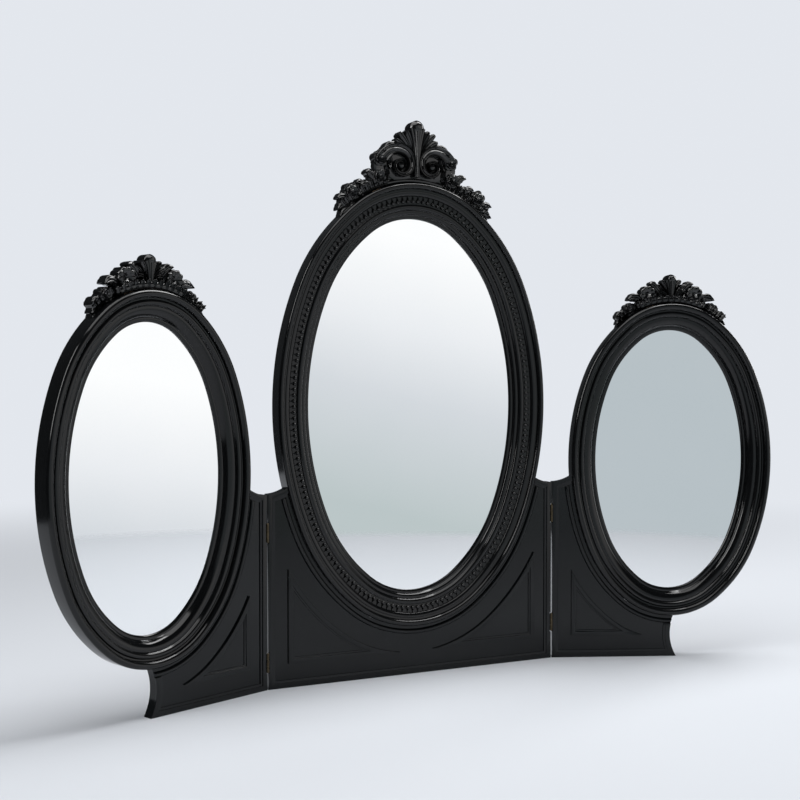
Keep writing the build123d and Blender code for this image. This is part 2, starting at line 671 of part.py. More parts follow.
def leaf_screws(side, hinge, inward):
    """The countersunk screws of the leaves on one board's edge."""
    with BuildPart() as screws:
        for plane in leaf_screw_planes(side, hinge, inward):
            with BuildSketch(plane):
                RegularPolygon(LEAF_SCREW_HEAD, SCREW_SIDES)
            extrude(amount=LEAF_SCREW_SUNK, taper=45)
            with BuildSketch(plane):
                RegularPolygon(LEAF_SCREW_RADIUS, SCREW_SIDES)
            extrude(amount=LEAF_SCREW_LONG)
    return screws


# Hinges: the two outer knuckles belong to the leaf on the centre board, the middle one to the leaf on the wing
OUTER_KNUCKLES = ((-HINGE_LONG / 2, -KNUCKLE_SPLIT), (KNUCKLE_SPLIT, HINGE_LONG / 2))
MIDDLE_KNUCKLE = ((-KNUCKLE_SPLIT + KNUCKLE_PLAY, KNUCKLE_SPLIT - KNUCKLE_PLAY),)
for hinge in WINGS:
    hand = PANELS[hinge]["hand"]
    save(hinge_leaf("centre", hinge, -hand, OUTER_KNUCKLES, MIDDLE_KNUCKLE), f"{hinge}_hinge_centre_leaves")
    save(hinge_leaf(hinge, hinge, hand, MIDDLE_KNUCKLE, OUTER_KNUCKLES), f"{hinge}_hinge_wing_leaves")
    save(leaf_screws("centre", hinge, -hand), f"{hinge}_hinge_centre_screws")
    save(leaf_screws(hinge, hinge, hand), f"{hinge}_hinge_wing_screws")
    # The pins are driven into the outer knuckles and turn in the middle ones
    line = hinge_line("centre", hinge)
    with BuildPart() as pins:
        for height in HINGE_HEIGHTS[hinge]:
            with BuildSketch(line.offset(height - HINGE_LONG / 2 - PIN_PROUD)):
                Circle(PIN_RADIUS)
            extrude(amount=HINGE_LONG + 2 * PIN_PROUD)
    save(pins, f"{hinge}_hinge_pins")
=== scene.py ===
import bpy
import bmesh
import math
import numpy as np
from mathutils import Matrix, Vector


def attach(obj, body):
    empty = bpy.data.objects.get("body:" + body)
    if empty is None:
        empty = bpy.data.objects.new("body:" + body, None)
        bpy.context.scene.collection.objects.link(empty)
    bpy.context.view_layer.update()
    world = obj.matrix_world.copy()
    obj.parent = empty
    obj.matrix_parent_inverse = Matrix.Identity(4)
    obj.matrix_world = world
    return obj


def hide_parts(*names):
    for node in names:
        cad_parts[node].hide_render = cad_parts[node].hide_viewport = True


# Triple dressing-table mirror, dressed piece by piece in the order in which it is put together. Sizes in the
# sections are in millimetres. On a panel they run right, up and forward from its face, as a viewer sees it.

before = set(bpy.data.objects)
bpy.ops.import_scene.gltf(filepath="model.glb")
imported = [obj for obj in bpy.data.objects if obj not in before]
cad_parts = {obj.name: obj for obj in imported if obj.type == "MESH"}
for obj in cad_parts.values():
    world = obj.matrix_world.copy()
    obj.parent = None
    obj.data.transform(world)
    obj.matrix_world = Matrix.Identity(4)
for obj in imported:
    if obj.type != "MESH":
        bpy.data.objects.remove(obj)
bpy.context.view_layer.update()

# Boards: three flat panels of 12 mm board, sawn to shape and lacquered black, with a satin flow that is never
# quite even. Their black has a faint blue-green cast that the frames lack: a painted reflection of the pale
# room in the lacquer. They are bare solids apart from their finish, and stand on their own bottom edges.
MM = 0.001
HINGE_X = 220.0
FACE_Y = -9.0
WING_FOLD = math.radians(21.7)
TINT_SPREAD = (0.35, 0.65)
GLOSS_SPREAD = (0.3, 0.7)
RELIEF_DEEP = 0.0004
COAT_ROUGHNESS = 0.08
HANDS = {"centre": 0, "left": -1, "right": 1}
BODIES = {"centre": "centre", "left": "left_wing", "right": "right_wing"}


def panel_matrix(side):
    """Carries a panel's own millimetres to its place in the scene."""
    hand = HANDS[side]
    turn = WING_FOLD * hand
    right = Vector((math.cos(turn), -math.sin(turn), 0))
    up = Vector((0, 0, 1))
    place = Matrix.Identity(4)
    for column, axis in enumerate((right, up, right.cross(up))):
        for row in range(3):
            place[row][column] = axis[row] * MM
    place.translation = Vector((hand * HINGE_X, FACE_Y, 0)) * MM
    return place


def unevenness_group():
    """Slow and fine mottling that every finish here shares."""
    group = bpy.data.node_groups.new("surface_unevenness", "ShaderNodeTree")
    for name, low in (("Broad_Scale", 12.0), ("Fine_Scale", 260.0), ("Fine_Share", 0.35)):
        socket = group.interface.new_socket(name=name, in_out="INPUT", socket_type="NodeSocketFloat")
        socket.default_value = low
    for name in ("Mask", "Height"):
        group.interface.new_socket(name=name, in_out="OUTPUT", socket_type="NodeSocketFloat")
    nodes, link = group.nodes, group.links.new
    given = nodes.new("NodeGroupInput")
    result = nodes.new("NodeGroupOutput")
    place = nodes.new("ShaderNodeTexCoord")
    broad = nodes.new("ShaderNodeTexNoise")
    fine = nodes.new("ShaderNodeTexNoise")
    mix = nodes.new("ShaderNodeMix")
    link(place.outputs["Object"], broad.inputs["Vector"])
    link(place.outputs["Object"], fine.inputs["Vector"])
    link(given.outputs["Broad_Scale"], broad.inputs["Scale"])
    link(given.outputs["Fine_Scale"], fine.inputs["Scale"])
    link(given.outputs["Fine_Share"], mix.inputs["Factor"])
    link(broad.outputs["Fac"], mix.inputs["A"])
    link(fine.outputs["Fac"], mix.inputs["B"])
    link(mix.outputs["Result"], result.inputs["Mask"])
    link(fine.outputs["Fac"], result.inputs["Height"])
    return group


UNEVENNESS = unevenness_group()


def finish(name, colours, roughness, metallic=0.0, coat=0.0, bump=0.02, broad=12.0, fine=260.0, specular=0.5):
    """A finish that drifts between two colours and two roughnesses, with a slight bump."""
    material = bpy.data.materials.new(name)
    material.use_nodes = True
    nodes, link = material.node_tree.nodes, material.node_tree.links.new
    shader = nodes["Principled BSDF"]
    uneven = nodes.new("ShaderNodeGroup")
    uneven.node_tree = UNEVENNESS
    uneven.inputs["Broad_Scale"].default_value = broad
    uneven.inputs["Fine_Scale"].default_value = fine
    tint = nodes.new("ShaderNodeValToRGB")
    for stop, position, colour in zip(tint.color_ramp.elements, TINT_SPREAD, colours):
        stop.position = position
        stop.color = (*colour, 1)
    gloss = nodes.new("ShaderNodeMapRange")
    gloss.inputs["From Min"].default_value = GLOSS_SPREAD[0]
    gloss.inputs["From Max"].default_value = GLOSS_SPREAD[1]
    gloss.inputs["To Min"].default_value = roughness[0]
    gloss.inputs["To Max"].default_value = roughness[1]
    relief = nodes.new("ShaderNodeBump")
    relief.inputs["Strength"].default_value = bump
    relief.inputs["Distance"].default_value = RELIEF_DEEP
    link(uneven.outputs["Mask"], tint.inputs["Fac"])
    link(uneven.outputs["Mask"], gloss.inputs["Value"])
    link(uneven.outputs["Height"], relief.inputs["Height"])
    link(tint.outputs["Color"], shader.inputs["Base Color"])
    link(gloss.outputs["Result"], shader.inputs["Roughness"])
    link(relief.outputs["Normal"], shader.inputs["Normal"])
    shader.inputs["Metallic"].default_value = metallic
    shader.inputs["Coat Weight"].default_value = coat
    shader.inputs["Coat Roughness"].default_value = COAT_ROUGHNESS
    shader.inputs["Specular IOR Level"].default_value = specular
    return material


def paint(node, material):
    """Gives a solid of the part its finish."""
    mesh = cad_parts[node].data
    mesh.materials.clear()
    mesh.materials.append(material)


# Both colours of the board black are tinted blue-green as a painted reflection of the pale room. The edge
# mouldings, spandrels and oval beads share this painted reflection.
BOARD_LACQUER_AND_REFLECTION = finish(
    "board_lacquer", ((0.0024, 0.003, 0.0034), (0.0042, 0.0052, 0.0058)), (0.08, 0.15), specular=0.3
)
for side in HANDS:
    paint(f"{side}_board", BOARD_LACQUER_AND_REFLECTION)

# Edge mouldings and spandrels: applied borders and three-cornered fillets of moulded wood, glued to the
# boards and lacquered with them. Their arrises are eased, so each catches a thin line of light.
EASE = 1.3
EASE_STEPS = 3
SHARP = math.radians(34)
ARRIS_ANGLE = math.radians(40)
FLAT_ANGLE = math.radians(1)
SEAM = 2e-6


def shown(name, mesh, body, slot, nodes=(), sharp=SHARP):
    """Puts a finished mesh in the scene, riding on a body, in place of nodes of the part."""
    mesh.shade_smooth()
    mesh.set_sharp_from_angle(angle=sharp)
    piece = bpy.data.objects.new(name, mesh)
    bpy.context.scene.collection.objects.link(piece)
    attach(piece, body)
    if nodes:
        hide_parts(*nodes)
    return piece


def evaluated(piece):
    """The plain mesh that an object and its modifiers make. The object is removed."""
    depsgraph = bpy.context.evaluated_depsgraph_get()
    mesh = bpy.data.meshes.new_from_object(piece.evaluated_get(depsgraph))
    bpy.data.objects.remove(piece)
    return mesh


def eased(node, material, width=EASE, steps=EASE_STEPS):
    """A copy of a solid's mesh, joined up and with its arrises rounded off."""
    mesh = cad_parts[node].data.copy()
    work = bmesh.new()
    work.from_mesh(mesh)
    bmesh.ops.remove_doubles(work, verts=work.verts, dist=SEAM)
    bmesh.ops.dissolve_limit(work, angle_limit=FLAT_ANGLE, verts=work.verts, edges=work.edges)
    work.to_mesh(mesh)
    work.free()
    mesh.materials.clear()
    mesh.materials.append(material)
    piece = bpy.data.objects.new(node, mesh)
    bpy.context.scene.collection.objects.link(piece)
    bevel = piece.modifiers.new("eased_arrises", "BEVEL")
    bevel.width = width * MM
    bevel.segments = steps
    bevel.limit_method = "ANGLE"
    bevel.angle_limit = ARRIS_ANGLE
    bevel.use_clamp_overlap = True
    return evaluated(piece)


for side in HANDS:
    names = [f"{side}_edge_moulding"]
    names += ["centre_left_spandrel", "centre_right_spandrel"] if side == "centre" else [f"{side}_spandrel"]
    for node in names:
        mesh = eased(node, BOARD_LACQUER_AND_REFLECTION)
        shown(f"eased_{node}", mesh, BODIES[side], "board_lacquer", [node])

# Oval beads: half-round mouldings bent to the ovals and glued to the boards just outside the frames. They run
# out into the border of each board, and on the wings down to the hollowed foot.
BEAD_EASE = 2.2
BEAD_STEPS = 4
BEAD_SHARP = math.radians(60)
for side in HANDS:
    bead = f"{side}_oval_bead"
    mesh = eased(bead, BOARD_LACQUER_AND_REFLECTION, BEAD_EASE, BEAD_STEPS)
    shown(f"eased_{bead}", mesh, BODIES[side], "board_lacquer", [bead], BEAD_SHARP)

# Oval frames: one moulding carried round each oval, tongued to the board and lacquered black in satin gloss.
# The tall one has a cove, a band, a channel for the pearls, a slope and a torus. The wings have a broad cove,
# a bead and a torus.
WING_OVAL = {"half": (110.4, 192.2), "turns": (39.6, 68.9), "shoulder": 154.1}
OVALS = {
    "centre": {"at": (0.0, 375.5), "half": (156.5, 260.3), "turns": (38.8, 68.3), "shoulder": 211.7},
    "left": {"at": (-178.8, 291.6), **WING_OVAL},
    "right": {"at": (178.8, 291.6), **WING_OVAL},
}
FRAME_STATIONS = 288
FRAME_BACK = 24.7
GLASS_DEPTH = 16.7
REBATE = 6.3


def arc(start, middle, end, steps):
    """Points on the arc through three points, without its start."""
    (ax, ay), (bx, by), (cx, cy) = start, middle, end
    d = 2 * (ax * (by - cy) + bx * (cy - ay) + cx * (ay - by))
    a, b, c = ax * ax + ay * ay, bx * bx + by * by, cx * cx + cy * cy
    x = (a * (by - cy) + b * (cy - ay) + c * (ay - by)) / d
    y = (a * (cx - bx) + b * (ax - cx) + c * (bx - ax)) / d
    first = math.atan2(ay - y, ax - x)
    half = (math.atan2(by - y, bx - x) - first + math.pi) % (2 * math.pi) - math.pi
    whole = half + (math.atan2(cy - y, cx - x) - first - half + math.pi) % (2 * math.pi) - math.pi
    radius = math.hypot(ax - x, ay - y)
    turns = [first + whole * k / steps for k in range(1, steps + 1)]
    return [(x + radius * math.cos(t), y + radius * math.sin(t)) for t in turns]


def section(*runs):
    """A section's outline from corners, and from pairs of a middle and an end point that make an arc."""
    points = [runs[0]]
    for run in runs[1:]:
        if len(run) == 3:
            points += arc(points[-1], run[0], run[1], run[2])
        else:
            points.append(run)
    return points


REBATE_SECTION = ((REBATE, FRAME_BACK), (REBATE, GLASS_DEPTH), (0.0, GLASS_DEPTH))
CENTRE_SECTION = section(
    *REBATE_SECTION, (0.0, 15.2), ((2.2, 13.7), (4.4, 13.5), 5), (5.2, 12.2),
    ((7.2, 9.9), (11.0, 9.3), 7), (11.5, 8.6), ((15.0, 5.2), (19.3, 6.2), 8), (19.6, 7.6), (30.4, 6.2),
    (30.6, 4.6), ((33.6, 2.2), (36.8, 1.7), 6), (37.4, 2.6), (39.9, 2.2), (40.3, 0.6),
    ((44.4, -4.2), (48.3, 0.4), 12), (48.3, FRAME_BACK - 0.6), (47.7, FRAME_BACK),
)
WING_SECTION = section(
    *REBATE_SECTION, (0.0, 15.4), ((2.6, 13.6), (5.2, 13.5), 5), (6.4, 11.9),
    ((10.6, 7.2), (18.8, 5.3), 9), (19.5, 3.6), ((23.2, 0.4), (26.8, 2.0), 8), (27.3, 2.9), (28.9, 2.6),
    (29.2, 0.8), ((34.2, -4.3), (39.1, 0.6), 12), (39.1, FRAME_BACK - 0.6), (38.5, FRAME_BACK),
)


def oval_points(side, off, count):
    """Points round an oval from the right, off outside the glass in view, with the way each one faces."""
    oval = OVALS[side]
    half_x, half_z = oval["half"]
    low, high = oval["turns"]
    mid = oval["shoulder"]
    sin_low, cos_low = math.sin(math.radians(low)), math.cos(math.radians(low))
    sin_high, cos_high = math.sin(math.radians(high)), math.cos(math.radians(high))
    rest_x = half_x - mid * (sin_high - sin_low)
    rest_z = half_z - mid * (cos_low - cos_high)
    scale = sin_low * cos_high - (1 - sin_high) * (1 - cos_low)
    end = (rest_x * cos_high - rest_z * (1 - sin_high)) / scale
    flank = (rest_z * sin_low - rest_x * (1 - cos_low)) / scale
    corner = ((end - mid) * sin_low, half_z - end + (end - mid) * cos_low)
    arcs = ((90 - high, flank, (half_x - flank, 0)), (high - low, mid, corner), (low, end, (0, half_z - end)))
    lengths = [math.radians(step) * (radius + off) for step, radius, middle in arcs]
    quarter = sum(lengths)
    points = []
    for k in range(count):
        along = 4 * quarter * k / count
        part = int(along // quarter) % 4
        run = along - quarter * int(along // quarter)
        if part % 2:
            run = quarter - run
        facing = 0.0
        for (step, radius, middle), length in zip(arcs, lengths):
            if run <= length or radius == end:
                break
            run -= length
            facing += math.radians(step)
        facing += run / (radius + off)
        x = middle[0] + (radius + off) * math.cos(facing)
        z = middle[1] + (radius + off) * math.sin(facing)
        side_x, side_z = (1, -1, -1, 1)[part], (1, 1, -1, -1)[part]
        out = (side_x * math.cos(facing), side_z * math.sin(facing))
        points.append((oval["at"][0] + side_x * x, oval["at"][1] + side_z * z, *out))
    return points


def outline_object(name, points):
    """A closed line of points as a bare mesh."""
    mesh = bpy.data.meshes.new(name)
    count = len(points)
    mesh.from_pydata([(*p[:2], 0.0) for p in points], [(k, (k + 1) % count) for k in range(count)], [])
    piece = bpy.data.objects.new(name, mesh)
    bpy.context.scene.collection.objects.link(piece)
    return piece


def sockets(tree, **kinds):
    """Adds named inputs to a geometry tree, after its geometry."""
    tree.interface.new_socket(name="Geometry", in_out="INPUT", socket_type="NodeSocketGeometry")
    tree.interface.new_socket(name="Geometry", in_out="OUTPUT", socket_type="NodeSocketGeometry")
    for name, kind in kinds.items():
        tree.interface.new_socket(name=name, in_out="INPUT", socket_type=f"NodeSocket{kind}")


def set_input(modifier, name, value):
    """Sets a geometry modifier's input by its socket's identifier."""
    for item in modifier.node_group.interface.items_tree:
        if item.item_type == "SOCKET" and item.in_out == "INPUT" and item.name == name:
            modifier[item.identifier] = value


def moulding_tree():
    """Carries a closed section along a closed path."""
    tree = bpy.data.node_groups.new("oval_moulding", "GeometryNodeTree")
    sockets(tree, Section="Object", Finish="Material")
    nodes, link = tree.nodes, tree.links.new
    given, result = nodes.new("NodeGroupInput"), nodes.new("NodeGroupOutput")
    path = nodes.new("GeometryNodeMeshToCurve")
    upright = nodes.new("GeometryNodeSetCurveNormal")
    upright.mode = "Z_UP"
    chosen = nodes.new("GeometryNodeObjectInfo")
    profile = nodes.new("GeometryNodeMeshToCurve")
    carry = nodes.new("GeometryNodeCurveToMesh")
    realize = nodes.new("GeometryNodeRealizeInstances")
    coat = nodes.new("GeometryNodeSetMaterial")
    link(given.outputs["Geometry"], path.inputs["Mesh"])
    link(path.outputs["Curve"], upright.inputs["Curve"])
    link(given.outputs["Section"], chosen.inputs["Object"])
    link(chosen.outputs["Geometry"], profile.inputs["Mesh"])
    link(upright.outputs["Curve"], carry.inputs["Curve"])
    link(profile.outputs["Curve"], carry.inputs["Profile Curve"])
    link(carry.outputs["Mesh"], realize.inputs["Geometry"])
    link(realize.outputs["Geometry"], coat.inputs["Geometry"])
    link(given.outputs["Finish"], coat.inputs["Material"])
    link(coat.outputs["Geometry"], result.inputs["Geometry"])
    return tree


def facing_out(mesh):
    """Turns the faces of closed shells outwards."""
    work = bmesh.new()
    work.from_mesh(mesh)
    bmesh.ops.remove_doubles(work, verts=work.verts, dist=1e-7)
    bmesh.ops.recalc_face_normals(work, faces=work.faces)
    work.to_mesh(mesh)
    work.free()


MOULDING_TREE = moulding_tree()
FRAME_LACQUER = finish(
    "frame_lacquer", ((0.002, 0.0022, 0.0024), (0.0038, 0.004, 0.0044)), (0.08, 0.14), specular=0.27, coat=0.2
)
for side in HANDS:
    profile = outline_object("frame_section", CENTRE_SECTION if side == "centre" else WING_SECTION)
    ring = outline_object("frame_path", oval_points(side, 0.0, FRAME_STATIONS))
    modifier = ring.modifiers.new("moulding", "NODES")
    modifier.node_group = MOULDING_TREE
    set_input(modifier, "Section", profile)
    set_input(modifier, "Finish", FRAME_LACQUER)
    mesh = evaluated(ring)
    bpy.data.objects.remove(profile)
    mesh.transform(panel_matrix(side))
    facing_out(mesh)
    shown(f"{side}_frame_moulding", mesh, BODIES[side], "frame_lacquer", [f"{side}_frame"])

# Pearls: a course of small beads with a pointed dart outside each, pressed from composition in strips, laid
# in the channel of the tall frame and lacquered with it.
PEARL_COUNT = 190
PEARL_OFF = 23.6
PEARL_RADIUS = 2.7
PEARL_DEPTH = 5.9
PEARL_RISE = (-50, 0, 32, 60, 80)
PEARL_SIDES = 10
PEARL_SHARP = math.radians(50)
DART_START, DART_FOOT = 2.0, -1.4
DART_LONG = 5.4
DART_WIDE = 3.0
DART_HIGH = 2.4
BOX_FACES = [(0, 3, 2, 1), (4, 5, 6, 7), (0, 1, 5, 4), (1, 2, 6, 5), (2, 3, 7, 6), (3, 0, 4, 7)]
CARVED_LACQUER = finish(
    "carved_lacquer", ((0.002, 0.0021, 0.0023), (0.0036, 0.0038, 0.004)), (0.08, 0.15), specular=0.6
)


def repeat_tree():
    """Sets a copy of a shape on every point, turned by the point's own angles."""
    tree = bpy.data.node_groups.new("repeat_on_points", "GeometryNodeTree")
    sockets(tree, Shape="Object", Finish="Material")
    nodes, link = tree.nodes, tree.links.new
    given, result = nodes.new("NodeGroupInput"), nodes.new("NodeGroupOutput")
    points = nodes.new("GeometryNodeMeshToPoints")
    turn = nodes.new("GeometryNodeInputNamedAttribute")
    turn.data_type = "FLOAT_VECTOR"
    turn.inputs["Name"].default_value = "turn"
    angles = nodes.new("FunctionNodeEulerToRotation")
    chosen = nodes.new("GeometryNodeObjectInfo")
    copies = nodes.new("GeometryNodeInstanceOnPoints")
    realize = nodes.new("GeometryNodeRealizeInstances")
    coat = nodes.new("GeometryNodeSetMaterial")
    link(given.outputs["Geometry"], points.inputs["Mesh"])
    link(points.outputs["Points"], copies.inputs["Points"])
    link(given.outputs["Shape"], chosen.inputs["Object"])
    link(chosen.outputs["Geometry"], copies.inputs["Instance"])
    link(turn.outputs["Attribute"], angles.inputs["Euler"])
    link(angles.outputs["Rotation"], copies.inputs["Rotation"])
    link(copies.outputs["Instances"], realize.inputs["Geometry"])
    link(realize.outputs["Geometry"], coat.inputs["Geometry"])
    link(given.outputs["Finish"], coat.inputs["Material"])
    link(coat.outputs["Geometry"], result.inputs["Geometry"])
    return tree


REPEAT_TREE = repeat_tree()


def tube_faces(rows, sides):
    """The faces of a closed tube through rows of points, with a cap at each end."""
    faces = []
    for row in range(rows - 1):
        for k in range(sides):
            n = (k + 1) % sides
            faces.append((row * sides + k, row * sides + n, (row + 1) * sides + n, (row + 1) * sides + k))
    return [*faces, tuple(reversed(range(sides))), tuple(range((rows - 1) * sides, rows * sides))]


def lathe(rings, sides):
    """A closed round shape about Z from its radii and heights, lowest first."""
    turns = [2 * math.pi * k / sides for k in range(sides)]
    verts = [(radius * math.cos(t), radius * math.sin(t), height) for radius, height in rings for t in turns]
    return verts, tube_faces(len(rings), sides)


def shape_object(name, parts):
    """One object from several lists of vertices and faces."""
    verts, faces = [], []
    for some_verts, some_faces in parts:
        first = len(verts)
        verts += [tuple(v) for v in some_verts]
        faces += [tuple(first + k for k in face) for face in some_faces]
    mesh = bpy.data.meshes.new(name)
    mesh.from_pydata(verts, [], faces)
    piece = bpy.data.objects.new(name, mesh)
    bpy.context.scene.collection.objects.link(piece)
    return piece


def repeated(shape, places, turns, material, matrix):
    """Copies of a shape at places with turns, as one mesh carried by a matrix."""
    mesh = bpy.data.meshes.new("places")
    mesh.from_pydata(places, [], [])
    mesh.attributes.new("turn", "FLOAT_VECTOR", "POINT").data.foreach_set("vector", np.ravel(turns))
    spots = bpy.data.objects.new("places", mesh)
    bpy.context.scene.collection.objects.link(spots)
    modifier = spots.modifiers.new("repeat", "NODES")
    modifier.node_group = REPEAT_TREE
    set_input(modifier, "Shape", shape)
    set_input(modifier, "Finish", material)
    result = evaluated(spots)
    bpy.data.objects.remove(shape)
    result.transform(matrix)
    facing_out(result)
    return result


rises = [math.radians(t) for t in PEARL_RISE]
ball = lathe([(PEARL_RADIUS * math.cos(t), PEARL_RADIUS * math.sin(t)) for t in rises], PEARL_SIDES)
dart = [
    (DART_START, -DART_WIDE / 2, DART_FOOT), (DART_START, DART_WIDE / 2, DART_FOOT),
    (DART_START + DART_LONG, 0.6, DART_FOOT), (DART_START + DART_LONG, -0.6, DART_FOOT),
    (3.0, -0.3, DART_HIGH), (3.0, 0.3, DART_HIGH), (1.4 + DART_LONG, 0.2, 0.8), (1.4 + DART_LONG, -0.2, 0.8),
]
pearl = shape_object("pearl_and_dart", [ball, (dart, BOX_FACES)])
course = oval_points("centre", PEARL_OFF, PEARL_COUNT)
pearls = repeated(
    pearl,
    [(x, z, -PEARL_DEPTH) for x, z, out_x, out_z in course],
    [(0, 0, math.atan2(out_z, out_x)) for x, z, out_x, out_z in course],
    CARVED_LACQUER,
    panel_matrix("centre"),
)
shown("centre_pearls", pearls, "centre", "carved_lacquer", ["centre_pearl_strip"], PEARL_SHARP)

# Glasses: 4 mm float glass, cut to the ovals and silvered behind, lying in the rebates of the frames. The
# silver shows almost no colour of its own.
MIRROR = finish(
    "silvered_glass", ((0.93, 0.945, 0.95), (0.945, 0.955, 0.96)), (0.0, 0.012), metallic=1.0, bump=0.0
)
for side in HANDS:
    paint(f"{side}_mirror_glass", MIRROR)

# Backings: 4 mm brown hardboard cut to the ovals, one behind each glass, flush with the back of its frame and
# smooth side out. The turn buttons hold it.
HARDBOARD = finish(
    "backing_board", ((0.13, 0.075, 0.04), (0.21, 0.125, 0.07)), (0.55, 0.75),
    bump=0.35, broad=30.0, fine=900.0,
)
for side in HANDS:
    paint(f"{side}_backing", HARDBOARD)

# Turn buttons and their screws: pressed steel catches, painted black, each turning on a round-head screw with
# a slot. They hold the backings in and swing off them to let the glass out.
BUTTON_COUNTS = {"centre": 8, "left": 6, "right": 6}
BUTTON_LONG, BUTTON_WIDE, BUTTON_THICK = 18.0, 8.0, 1.5
BUTTON_MIDDLE = 10.8
SCREW_MIDDLE = BUTTON_MIDDLE + 4.0
HEAD_RADIUS, HEAD_HIGH = 2.6, 1.6
SLOT_WIDE, SLOT_DEEP = 0.6, 0.5
SHANK_RADIUS, SHANK_LONG = 1.3, 8.5
HEAD_SIDES, SHANK_SIDES, BUTTON_SIDES = 16, 10, 16
HEAD_CROWN = 0.45
SCREW_SPIN = 1.1
SCREW_SEAT = FRAME_BACK + BUTTON_THICK
BUTTON_STATIONS = 4 * FRAME_STATIONS
BLACK_STEEL = finish("black_steel", ((0.02, 0.02, 0.021), (0.035, 0.035, 0.037)), (0.38, 0.55), bump=0.1)
SCREW_STEEL = finish(
    "steel_screws", ((0.42, 0.42, 0.42), (0.6, 0.6, 0.58)), (0.22, 0.4), metallic=1.0, broad=90.0
)


def round_head():
    """A round-head screw pointing down Z, with a slot across its head and its bearing face at zero."""
    radius, high = HEAD_RADIUS, HEAD_HIGH
    seat = high - SLOT_DEEP
    crown = HEAD_CROWN * radius
    rings = [(radius, 0.0), (radius, 0.3 * high), (0.9 * radius, 0.62 * high), (crown, seat)]
    lips = []
    for sign in (-1, 1):
        reach = crown * 1.25
        near, far = sign * SLOT_WIDE / 2, sign * reach
        foot = [(near, -reach), (far, -reach * 0.55), (far, reach * 0.55), (near, reach)]
        inner = far * 0.8
        brow = [(near, -reach * 0.8), (inner, -reach * 0.4), (inner, reach * 0.4), (near, reach * 0.8)]
        points = [(x, y, seat - 0.25) for x, y in foot] + [(x, y, high) for x, y in brow]
        lips.append((points, BOX_FACES))
    point = [(0.3 * SHANK_RADIUS, -SHANK_LONG), (SHANK_RADIUS, 2 - SHANK_LONG), (SHANK_RADIUS, 0.1)]
    return [lathe(rings, HEAD_SIDES), *lips, lathe(point, SHANK_SIDES)]


def button_blank():
    """A flat steel button with round ends, along X."""
    end = BUTTON_WIDE / 2
    half, ring = BUTTON_LONG / 2 - end, []
    for k in range(BUTTON_SIDES):
        turn = math.pi * (k - 3.5) / 8
        ring.append((math.copysign(half, math.cos(turn)) + end * math.cos(turn), end * math.sin(turn)))
    levels = ((0.3, 0.0), (0.0, 0.3), (0.0, BUTTON_THICK - 0.4), (0.4, BUTTON_THICK))
    rows = []
    for shrink, height in levels:
        rows += [(x - math.copysign(shrink, x), z * (1 - shrink / 4), height) for x, z in ring]
    return rows, tube_faces(len(levels), BUTTON_SIDES)


FITTINGS = (
    ("turn_buttons", [button_blank()], BLACK_STEEL, "black_steel", BUTTON_MIDDLE, FRAME_BACK, 0.0),
    ("button_screws", round_head(), SCREW_STEEL, "steel_screws", SCREW_MIDDLE, SCREW_SEAT, SCREW_SPIN),
)
for side in HANDS:
    count = BUTTON_COUNTS[side]
    fine_ring = oval_points(side, 0.0, BUTTON_STATIONS)
    facings = [math.radians(360 * (k + 0.5) / count) for k in range(count)]
    spots = [min(fine_ring, key=lambda p: -p[2] * math.cos(f) - p[3] * math.sin(f)) for f in facings]
    for name, shape, material, slot, out, depth, spin in FITTINGS:
        places = [(x + out * a, z + out * b, -depth) for x, z, a, b in spots]
        turns = [(math.pi, 0, math.atan2(spot[3], spot[2]) + spin * k) for k, spot in enumerate(spots)]
        mesh = repeated(shape_object(name, shape), places, turns, material, panel_matrix(side))
        shown(f"{side}_fitted_{name}", mesh, BODIES[side], slot, [f"{side}_{name}"])

# Crests: carved from one block each in limewood, seated on the frames and lacquered with them. Each has a
# fluted plume with a rolled-over head, two volutes, and roses and leaves that step down the shoulders.
CREST_BACK = -18.0
CREST_SETBACK = {"centre": 0.0, "left": -6.5, "right": -6.5}
CREST_SHARP = math.radians(48)
LEAF_SPAN, LEAF_STEPS, LEAF_CURL = 15, 26, 2.0
FEATHER_STEPS, PLUME_STEPS, BAND_STEPS = 22, 24, 20
SPIRAL_STEPS = 84
RING_STATIONS = 720
BOSS_RINGS = (0.0, 0.25, 0.5, 0.72, 0.88, 0.97, 1.0)
GROUND_RINGS = (0.0, 0.6, 0.9, 1.0)
SHELL_RINGS = (0.0, 0.2, 0.36, 0.5, 0.62, 0.74, 0.84, 0.92, 1.0)


